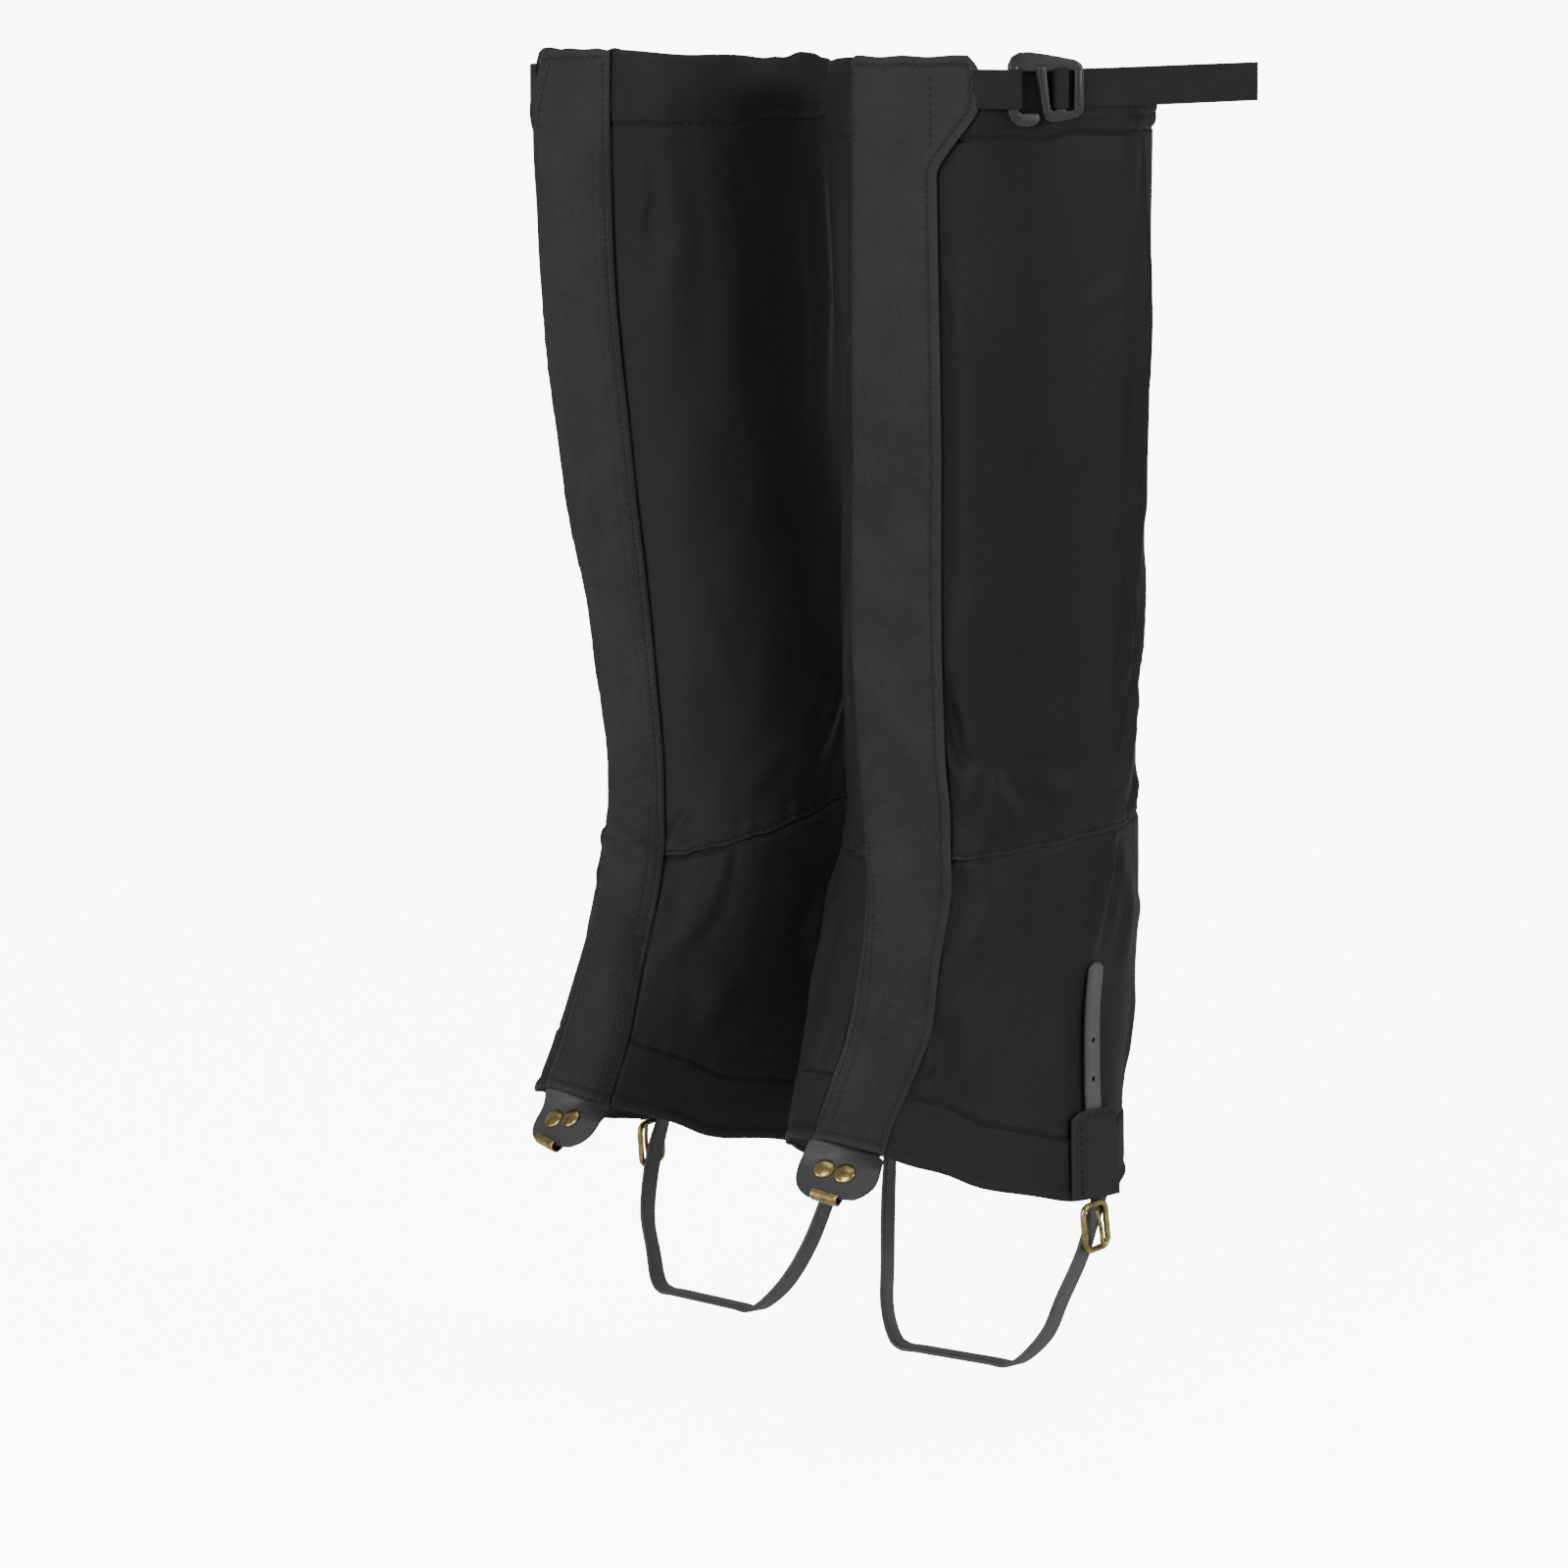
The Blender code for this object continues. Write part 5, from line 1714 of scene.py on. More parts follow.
@dataclass(frozen=True)
class FrontFlap(Cloth):
    """The long flap over the front opening, sewn in at its inner edge and held by tape at its outer one."""
    wall: float = 1.5
    step: float = 1.6
    stitch_in: float = 3.4
    seam_stitch: float = 2.4
    second_stitch: float = 5.6
    wide: float = 48.0
    tall: float = 412.0
    margin: float = 8.0
    thread_rise: float = 0.08
    flat_width: float = 0.062
    flat_length: float = 0.435

    def bottom(self, angle: Array) -> Array:
        """Height of the bottom edge."""
        return self.leg.hem_height(angle) + FLAP_HEM_STEP

    def top(self, angle: Array) -> Array:
        """Height of the top edge, bowed up a little in its middle.

        Args:
            angle: degrees round the leg.

        Returns:
            Millimetres above the ground.
        """
        inner = self.leg.flap_edges(FLAP_TOP)[0]
        share = np.clip((angle - inner) / self.wide, 0.0, 1.0)
        rise = self.leg.flap_rise[0] * (1 - share) + self.leg.flap_rise[1] * share
        soft_corner = 1.4 * (1 - ease((angle - inner) / 5.0))
        return FLAP_TOP + rise - soft_corner + 0.3 * np.sin(np.radians(angle) * 19 + self.leg.seed)

    def free_edge(self, height: Array) -> Array:
        """The angle of the free edge, with the corner that reaches back to the strap."""
        return self.leg.flap_edges(height)[1] + np.where(height > EXTENSION_START, EXTENSION_TRACK(height), 0.0)

    def slant(self, height: Array, scale: Array) -> Array:
        """Millimetres that the free edge runs sideways in each millimetre of height."""
        return (self.free_edge(height + 1) - self.free_edge(height - 1)) / 2 * scale

    def spread(self, across: Array, up: Array) -> Surface:
        """Angles and heights of places on the flap.

        Args:
            across: millimetres from the inner edge on the piece laid flat.
            up: millimetres from the bottom on the piece laid flat.

        Returns:
            The angle and the height of each place.
        """
        leg, margin = self.leg, self.margin
        height = 120.0 + up
        angle = np.zeros(np.shape(across))
        for _ in range(SETTLE_ROUNDS):
            inner = leg.flap_edges(height)[0]
            scale = leg.mm_per_degree(inner, height)
            width = (self.free_edge(height) - inner) * scale
            run = fitted(across, (0.0, margin, self.wide - 6.0, self.wide),
                         [0.0 * width, margin + 0.0 * width, width - 6.0, width])
            angle = inner + run / scale
            bottom, top = self.bottom(angle), self.top(angle)
            height = fitted(up, (0.0, margin, self.tall - margin, self.tall),
                            [bottom, bottom + margin, top - margin, top])
        return angle, height

    def edge_distances(self, angle: Array, height: Array) -> Surface:
        """Millimetres from the inner edge, and from the slanting free edge.

        Args:
            angle: degrees round the leg.
            height: millimetres above the ground.

        Returns:
            The two distances.
        """
        scale = self.leg.mm_per_degree(angle, height)
        from_free = (self.free_edge(height) - angle) * scale / np.sqrt(1 + self.slant(height, scale)**2)
        return (angle - self.leg.flap_edges(height)[0]) * scale, from_free

    def lift(self, angle: Array, height: Array) -> Array:
        """Millimetres that the flap's face stands outside the folded form.

        Args:
            angle: degrees round the leg.
            height: millimetres above the ground.

        Returns:
            Millimetres outward.
        """
        leg = self.leg
        from_inner, from_free = self.edge_distances(angle, height)
        on_casing = ease((height - (CASING_LOW - 8.0)) / 6.0)
        face = FLAP_FACE + (FLAP_FACE_ON_CASING - FLAP_FACE) * on_casing
        seam_level = 0.15 + 0.5 * on_casing + 0.5 * ease((leg.seam_height(angle) - height) / 8.0)
        total = seam_level + (face - seam_level) * ease((from_inner + 3.0) / 13.0) ** 0.8
        total -= 0.5 * bell(from_inner, 0.9)
        total -= (2.3 - 1.8 * on_casing) * ease((5.0 - from_free) / 5.0) ** 1.3
        nearest = np.minimum(np.minimum(from_free, self.top(angle) - height), height - self.bottom(angle))
        total += 0.4 * ease((self.stitch_in - nearest) / 0.9) - 0.62 * bell(nearest - self.stitch_in, 0.85)
        total -= 0.22 * bell(from_inner - self.seam_stitch, 0.7)
        total -= 0.2 * bell(from_inner - self.second_stitch, 0.7)
        puckers = (np.sin(height * 0.42 + 2 * np.sin(height * 0.07 + leg.seed)) * 0.6
                   + np.sin(height * 1.1 + 1.0) * 0.5)
        patchy = 0.45 + 0.55 * np.sin(height * 0.045 + leg.seed) ** 2
        total += 0.2 * puckers * patchy * bell(nearest - self.stitch_in, 4.0)
        total += 0.26 * puckers * patchy * bell(from_inner - 3.0, 5.0)
        for crease in leg.flap_creases:
            total += crease.lift(angle, height)
        return total + leg.ripple(angle, height, 0.4, 3)

    def build(self, finish: Wardrobe) -> None:
        """Builds the flap and its sewing.

        Args:
            finish: the materials.
        """
        half = self.wall / 2
        columns = graded(self.wide, self.step, half, (1.5, self.second_stitch, self.wide - self.stitch_in), 0.5)
        rows = graded(self.tall, self.step, half, (self.stitch_in, self.tall - self.stitch_in))
        place = self.spread(*np.meshgrid(columns, rows))
        piece = keep(self.laid("flap", *place, 1.15), finish[Look.FLAP], Slot.FLAP, "front_flap")
        sewing = keep(self.sewing(), finish[Look.FLAP_THREAD], Slot.FLAP)

    def line(self, at: float, from_free: bool, low: float, high: float) -> Surface:
        """A line at a distance from one of the long edges.

        Args:
            at: millimetres in from the edge.
            from_free: whether the edge is the free one.
            low: height where it starts.
            high: height where it ends.

        Returns:
            Places in metres, and the outward directions.
        """
        height = np.linspace(low, high, 900)
        edge = self.free_edge(height) if from_free else self.leg.flap_edges(height)[0]
        scale = self.leg.mm_per_degree(edge, height)
        slant = self.slant(height, scale) if from_free else 0.0
        angle = edge + (-at if from_free else at) * np.sqrt(1 + slant**2) / scale
        return self.surface(angle, height, self.thread_rise)

    def sewing(self) -> Piece:
        """Stitches along the free edge, twice along the inner edge, across the top and bottom and at the corner.

        Returns:
            The stitches.
        """
        leg, inset = self.leg, self.stitch_in
        inner, outer = leg.flap_edges(135.0)
        seam_low, near_top = self.bottom(inner) + inset, FLAP_TOP - inset
        rows = [self.line(inset, True, self.bottom(outer) + inset, near_top - 0.9),
                self.line(self.seam_stitch, False, seam_low, near_top),
                self.line(self.second_stitch, False, seam_low, 236.0)]
        inner, outer = leg.flap_edges(FLAP_TOP)
        across = np.linspace(inner + 2.0, self.free_edge(near_top) - 3.0, 200)
        low_inner, low_outer = leg.flap_edges(130.0)
        low_across, slant = np.linspace(low_inner + 2.0, low_outer - 2.0, 200), np.linspace(0.0, 1.0, 60)
        places = ((across, self.top(across) - inset),
                  (np.full(80, outer - 1.6), np.linspace(near_top - 1.5, EXTENSION_START + 10.0, 80)),
                  (low_across, self.bottom(low_across) + inset),
                  (low_inner + 1.0 + 4.0 * slant, self.bottom(low_inner) + inset + 11.0 * slant))
        rows += [self.surface(*place, self.thread_rise) for place in places]
        return stitches(f"{leg.name}_flap_sewing", rows, 2.8, 0.3)


@dataclass(frozen=True)
class ClosureTape(Cloth):
    """The hook tape on the edge of the cloth that lies under the flap."""
    width: float = 19.0
    from_edge: float = 5.0
    wall: float = 1.0

    def lift(self, angle: Array, height: Array) -> Array:
        """The tape lies evenly on the cloth."""
        return np.full(height.shape, TAPE_FACE)

    def build(self, finish: Wardrobe) -> None:
        """Builds the tape.

        Args:
            finish: the materials.
        """
        leg = self.leg
        bottom = float(leg.hem_height(leg.flap_edges(125.0)[1])) + HEM_DEPTH + 14.0
        tall = CASING_LOW - 13.0 - bottom
        across, up = np.meshgrid(graded(self.width, 1.6, self.wall / 2) / self.width,
                                 graded(tall, 2.2, self.wall / 2))
        height = bottom + up
        outer = leg.flap_edges(height)[1]
        scale = leg.mm_per_degree(outer, height)
        end = outer - self.from_edge / scale
        start = np.maximum(end - self.width / scale, leg.panel_edges(height)[0] + 1.0)
        piece = keep(self.laid("hook_tape", start + (end - start) * across, height, 1.1), finish[Look.TAPE],
                     Slot.TAPE, "closure_tape")


# -------- strap and buckle at the top

@dataclass(frozen=True)
class Seat:
    """A place on a leg with its own axes, for hard pieces modelled flat."""
    origin: Array
    along: Array
    upward: Array
    outward: Array

    @classmethod
    def on(cls, leg: LegForm, angle: float, height: float, lift: float) -> "Seat":
        """The axes at one place of a leg.

        Args:
            leg: the leg's form.
            angle: degrees round it.
            height: millimetres above the ground.
            lift: millimetres outside the folded form.

        Returns:
            The seat, its along axis pointing to larger angles.
        """
        origin, outward = leg.surface(angle, height, lift)
        along = leg.level(angle + 0.5, height) - leg.level(angle - 0.5, height)
        along = unit(along - outward * float(along @ outward))
        return cls(origin, along, unit(np.cross(outward, along) * leg.side), outward)

    def place(self, x: float, y: float, z: float) -> Array:
        """A place given along, upward and outward in millimetres, in metres from the origin."""
        return self.origin + (self.along * x + self.upward * y + self.outward * z) * MM

    def matrix(self) -> Matrix:
        """The matrix that carries a piece modelled flat at the origin to this place.

        Returns:
            The matrix.
        """
        matrix = Matrix.Identity(4)
        for column, axis in enumerate((self.along, self.upward, self.outward)):
            matrix.col[column] = (*axis, 0.0)
        matrix.col[3] = (*self.origin, 1.0)
        return matrix


def rounded_box(left: float, right: float, low: float, high: float, radius: float, steps: int = 4) -> Outline:
    """The outline of a rectangle with round corners.

    Args:
        left: its left end.
        right: its right end.
        low: its lower level.
        high: its upper level.
        radius: of the corners.
        steps: how many a corner has.

    Returns:
        Its corners in order.
    """
    centres = ((right - radius, high - radius, 0), (left + radius, high - radius, 90),
               (left + radius, low + radius, 180), (right - radius, low + radius, 270))
    return [(x + radius * math.cos(math.radians(start + 90 * k / steps)),
             y + radius * math.sin(math.radians(start + 90 * k / steps)))
            for x, y, start in centres for k in range(steps + 1)]


@dataclass(frozen=True)
class TopStrap(Part):
    """The webbing round the top, its moulded ladder buckle and the loop that holds it to the flap."""
    plate: float = 2.8
    lift: float = 1.7
    window: tuple[float, float] = (-8.2, 6.9)
    width: float = 15.0
    wall: float = 1.3
    tail_length: float = 84.0
    leg_radius: float = 61.0
    tail_angles: Row = (83.0, 87.0, 91.0)
    outline: Outline = (
        (1.5, -12.7), (6.0, -12.0), (11.0, -11.0), (13.2, -9.6), (14.1, -7.4), (14.1, 7.2), (13.2, 9.4), (10.8, 10.8),
        (5.0, 12.0), (-2.0, 13.2), (-8.0, 14.0), (-12.0, 13.8), (-14.8, 12.2), (-16.3, 9.2), (-16.6, -8.4),
        (-15.4, -11.8), (-12.6, -13.9), (-8.6, -14.3), (-5.2, -13.3), (-3.7, -11.5), (-4.4, -9.3), (-7.6, -9.0),
        (-11.2, -9.3), (-12.3, -8.2), (-12.3, 6.9), (-5.4, 6.9), (-5.0, 4.0), (-3.4, -5.0), (-2.5, -9.2),
        (-1.4, -11.8),
    )
    first_window: Outline = (
        (-0.9, 6.3), (-0.3, 6.9), (2.4, 6.9), (3.2, 6.2), (3.2, -7.4), (2.4, -8.2), (1.2, -8.2), (0.7, -7.6),
        (-0.1, -1.0),
    )
    second_window: tuple[float, float] = (6.4, 10.2)
    bars: tuple[Row, ...] = (
        (-16.4, -12.2, 0.3, -9.6, 9.6, 1.2), (3.3, 6.3, -0.2, -9.0, 9.0, 0.9), (10.3, 13.9, 0.1, -8.6, 8.0, 1.2),
    )
    centre: Outline = (
        (-5.0, 9.2), (-5.2, 7.0), (-3.4, -5.0), (-2.4, -10.0), (0.2, -10.2), (0.5, -7.6), (-0.4, 0.0), (-1.2, 7.0),
        (-1.4, 9.0),
    )
    loop: Outline = (
        (-28.2, -2.5), (-25.8, -0.7), (-23.0, 1.9), (-20.6, 4.4), (-18.4, 5.9), (-16.3, 6.3), (-13.7, 6.3),
        (-11.6, 5.4), (-10.8, 3.2), (-11.6, 0.9), (-13.7, 0.2), (-17.3, -0.3), (-20.3, -1.8), (-23.8, -3.8),
        (-26.3, -5.1), (-28.2, -6.1),
    )
    threaded: Outline = (
        (5.2, 0.05), (3.4, 0.15), (2.2, 0.9), (1.8, 3.1), (2.2, 5.4), (3.4, 6.3), (6.2, 6.3), (7.4, 5.5), (7.9, 3.2),
        (8.5, 2.0), (9.8, 1.4), (14.2, 0.75),
    )

    @property
    def height(self) -> float:
        """Height of the strap's middle."""
        return HOLD_HEIGHT - self.leg.strap_drop

    def build(self, finish: Wardrobe) -> None:
        """Builds the buckle and the webbing."""
        self.buckle(finish)
        self.webbing(finish)

    def buckle(self, finish: Wardrobe) -> None:
        """Models the buckle flat from an outline, two windows and round bars, then seats it.

        Args:
            finish: the materials.
        """
        half = self.plate / 2
        plate = flat_plate(self.outline, -half + 0.25, half - 0.15)
        for window in (self.first_window, rounded_box(*self.second_window, *self.window, 0.8)):
            combine(plate, flat_plate(window, -half - 1, half + 1), "DIFFERENCE")
        soften(plate, 0.8)
        for left, right, more, down, up, bevel in self.bars:
            combine(plate, bar_block(left, right, down, up, -half + 0.1, half + more, bevel), "UNION")
        centre = flat_plate(self.centre, -half + 0.3, half + 0.55)
        soften(centre, 0.9)
        combine(plate, centre, "UNION")
        select_only(plate)
        smooth_to(38)
        seat = Seat.on(self.leg, self.leg.buckle_angle, self.height, CASING_FACE + self.lift + half)
        put(plate, f"{self.leg.name}_buckle", seat.matrix())
        keep(plate, finish[Look.PLASTIC], Slot.PLASTIC, "ladder_buckle")

    def band(self, name: str, replaced: str, places: list[Array], per_span: int, finish: Wardrobe) -> None:
        """Builds one length of the webbing through its places.

        Args:
            name: the piece's name without its side.
            replaced: the solid that it stands for.
            places: the places that its outer face goes through.
            per_span: how many points the path gets between two of them.
            finish: the materials.
        """
        half = np.array((0.0, 0.0, self.width / 2 * MM))
        piece = strip(f"{self.leg.name}_{name}", dense_path(places, per_span), half, self.leg.side, self.wall)
        keep(piece, finish[Look.WEBBING], Slot.WEBBING, replaced)

    def webbing(self, finish: Wardrobe) -> None:
        """Builds the short loop, which lies against the casing at its ends, and the strap with its free end.

        Args:
            finish: the materials.
        """
        leg, height, angle = self.leg, self.height, self.leg.buckle_angle
        seat = Seat.on(leg, angle, height, CASING_FACE)
        reach = 2.2 * leg.strap_drop
        places = []
        for x, z in self.loop:
            if x > -20:
                places.append(seat.place(x, 0.0, z))
                continue
            turn = angle + (x - (reach if x < -24 else 0.4 * reach)) / leg.mm_per_degree(angle, height)
            off = z + x * x / (2 * self.leg_radius)
            places.append(leg.surface(turn, height, CASING_FACE + 0.6 * off - 0.2 * leg.strap_drop)[0])
        self.band("hook_loop", "buckle_loop", places, 5, finish)
        places = [seat.place(x, 0.0, z) for x, z in self.threaded]
        face = CASING_FACE + 0.3 + self.wall + 0.75
        places += [leg.surface(turn + 0.5 * leg.strap_drop, height, face)[0] for turn in self.tail_angles]
        leaves, backward = places[-1], unit(np.array((-0.02 * leg.side, 1.0, 0.0)))
        sag = np.array((0.0, 0.0, -0.4 * leg.strap_drop * MM))
        places += [leaves + backward * self.tail_length * MM * k / 6 + sag * (k / 6) ** 2 for k in range(1, 7)]
        self.band("strap_webbing", "webbing_strap", places, 6, finish)


# -------- lace tab, rivets and hook

@dataclass(frozen=True)
class LaceTab(Part):
    """The coated tab under the flap's bottom edge, its two rivets and the hook for the laces."""
    width: float = 34.0
    drop: float = 22.5
    hidden: float = 5.0
    lean: float = 42.0
    wall: float = 1.6
    face: float = FLAP_FACE - 2.2
    rivet_spacing: float = 8.8
    rivet_drop: float = 10.6
    rivet: Outline = (
        (4.15, -0.2), (4.25, 0.15), (4.2, 0.42), (4.0, 0.62), (3.65, 0.82), (3.2, 1.02), (2.6, 1.2), (2.0, 1.34),
        (1.3, 1.44), (0.6, 1.5), (0.2, 1.52),
    )
    hook_width: float = 11.6
    hook_wall: float = 0.9
    hook_tilt: float = 0.22

    def surface(self, across: Array, drop: Array, lift: float) -> Surface:
        """Places on the tab, which starts on the cloth's form and leans forward into a nearly flat plate.

        Args:
            across: millimetres from its middle.
            drop: millimetres down from the flap's edge.
            lift: millimetres outside its form.

        Returns:
            Places in metres, and the outward directions.
        """
        leg, middle = self.leg, self.leg.tab_angle
        across, drop = np.broadcast_arrays(np.asarray(across, float), np.asarray(drop, float))
        angle = middle + 0.84 * across * leg.side / leg.mm_per_degree(middle, leg.hem_height(middle))
        above = np.maximum(-drop, 0.0)
        top, top_out = leg.surface(angle, leg.hem_height(angle) + above, lift - 0.9 * ease((1.5 - drop) / 3.0))
        origin, _ = leg.surface(middle, leg.hem_height(middle), lift)
        facing, lean = math.radians(leg.tab_facing), math.radians(self.lean)
        forward = np.array((math.sin(facing), -math.cos(facing), 0.0))
        along = np.array((math.cos(facing), math.sin(facing), 0.0))
        upright = np.array((0.0, 0.0, 1.0))
        steps = np.linspace(0.0, 40.0, 81)
        tilt = lean * ease((steps + 1.0) / 9.0)[1:]
        ahead, down = (np.interp(drop, steps, np.concatenate([[0], np.cumsum(part * 0.5)]))[..., None]
                       for part in (np.sin(tilt), np.cos(tilt)))
        turn = (lean * ease((drop + 1.0) / 9.0))[..., None]
        out = np.cos(turn) * forward + np.sin(turn) * upright
        fall = (ahead * forward - down * upright) * MM
        plate = origin + (across[..., None] * along - (across**2 / 120.0)[..., None] * forward) * MM + fall
        mix = ease(drop / 10.0)[..., None]
        bent = top + fall + (out - forward) * (lift * MM)
        return bent * (1 - mix) + plate * mix, unit(top_out * (1 - mix) + out * mix)

    def build(self, finish: Wardrobe) -> None:
        """Builds the tab, the rivets and the hook.

        Args:
            finish: the materials.
        """
        across, down = np.meshgrid(graded(self.width, 0.9, self.wall / 2) / self.width,
                                   graded(self.drop + self.hidden, 0.8, self.wall / 2))
        drop = self.drop - down
        narrow = np.clip((drop / self.drop - 0.5) / 0.5, 0.0, 1.0)
        half = self.width / 2 * np.sqrt(1 - 0.70 * narrow**2.6) * (0.80 + 0.20 * ease((drop + 3.5) / 6.0))
        sideways = half * (2 * across - 1)
        place, out = self.surface(sideways, drop, self.face)
        tab = cloth_shell(f"{self.leg.name}_tab", place, out, self.wall, np.stack([sideways, drop], -1))
        keep(tab, finish[Look.TAB], Slot.STRAP, "lace_tab")
        self.rivets(finish[Look.BRASS])
        self.hook(finish[Look.BRASS])

    def rivets(self, brass: Material) -> None:
        """Models one domed rivet with its rim and seats two of them.

        Args:
            brass: their material.
        """
        pattern = turned_piece("rivet_pattern", self.rivet, 32)
        for label, shift in (("inner", -1), ("outer", 1)):
            across = shift * self.leg.side * self.rivet_spacing / 2
            seat, out = self.surface(across - 0.8, self.rivet_drop + 0.8 * shift, self.face)
            rivet = pattern.copy()
            rivet.data = pattern.data.copy()
            bpy.context.scene.collection.objects.link(rivet)
            turn = Vector(out).to_track_quat("Z", "Y").to_matrix().to_4x4()
            put(rivet, f"{self.leg.name}_brass_rivet_{label}", Matrix.Translation(Vector(seat)) @ turn)
            keep(rivet, brass, Slot.BRASS, f"rivet_{label}")
        bpy.data.objects.remove(pattern)

    def hook(self, brass: Material) -> None:
        """Builds the flat brass strip that curls forward and up under the tab's edge.

        Args:
            brass: its material.
        """
        origin, outward = self.surface(-2.0, self.drop, self.face)
        up = unit(self.surface(-2.0, self.drop - 3, self.face)[0] - origin)
        sideways = unit(np.cross(outward, up)) + up * self.hook_tilt
        up = unit(np.cross(sideways, outward))
        behind = -self.wall - 0.3 - 1.2
        profile = ((behind, 9.0), (behind, 4.0), (behind, 1.6), (behind + 0.2, 0.4), (behind + 0.9, -0.4),
                   (-0.5, -0.7), (0.6, -0.4), (1.1, 0.5), (1.0, 1.7))
        path = dense_path([origin + (outward * x + up * y) * MM for x, y in profile], 6)
        piece = strip(f"{self.leg.name}_brass_hook", path, unit(sideways) * self.hook_width / 2 * MM, -1.0,
                      self.hook_wall)
        keep(piece, brass, Slot.BRASS, "lace_hook")


# -------- the strap under the sole

@dataclass(frozen=True)
class Patch(Part):
    """A patch sewn over the foot strap, flat at its sides and raised in its middle."""
    name: str
    replaced: str
    angle: float
    width: float
    top: float
    strap_wall: float
    wall: float = 1.6
    stitch_in: float = 2.2

    @property
    def low(self) -> float:
        """Height of its lower edge."""
        return float(self.leg.hem_height(self.angle)) + 0.5

    def surface(self, distance: Array, height: Array, more: float = 0.0) -> Surface:
        """Its outer face, by distance from its middle line.

        Args:
            distance: millimetres from the middle line.
            height: millimetres above the ground.
            more: millimetres outside the face.

        Returns:
            Places in metres, and the outward directions.
        """
        leg = self.leg
        raised = ease((9.4 - np.abs(distance)) / 3.4)
        face = HEM_FACE + 0.3 + self.wall + raised * (self.strap_wall + 0.55)
        sewn = np.minimum(self.width / 2 - np.abs(distance), np.minimum(self.top - height, height - self.low))
        face = face - 0.35 * bell(sewn - self.stitch_in, 0.9)
        face = face + leg.ripple(np.full(np.shape(height), self.angle), height, 0.3, 7)
        return leg.surface(self.angle + distance / leg.mm_per_degree(self.angle, height), height, face + more)

    def build(self, finish: Wardrobe) -> None:
        """Builds the patch and its sewing along three sides.

        Args:
            finish: the materials.
        """
        leg, width, tall, half = self.leg, self.width, self.top - self.low, self.wall / 2
        across, up = np.meshgrid(graded(width, 0.8, half, (self.stitch_in, width - self.stitch_in)),
                                 graded(tall, 1.0, half, (tall - 2.6,)) / tall)
        distance = across - width / 2
        corner = 3.2 * np.maximum(0.0, (np.abs(distance) - width / 2 + 4.5) / 4.5) ** 2
        height = self.low + (tall - corner) * up
        outer, out = self.surface(distance, height)
        piece = cloth_shell(f"{leg.name}_{self.name}", outer, out, self.wall, np.stack([distance, height], -1))
        keep(piece, finish[Look.PATCH], Slot.ANKLE, self.replaced)
        heights = np.linspace(self.low + 1.5, self.top - 3.5, 120)
        rows = [self.surface(np.full(120, side * (width / 2 - self.stitch_in)), heights, THREAD_RISE)
                for side in (-1, 1)]
        distances = np.linspace(-width / 2 + 3.0, width / 2 - 3.0, 80)
        rows.append(self.surface(distances, np.full(80, self.top - 2.6), THREAD_RISE))
        sewing = keep(stitches(f"{leg.name}_{self.name}_sewing", rows, 2.6), finish[Look.THREAD], Slot.ANKLE)


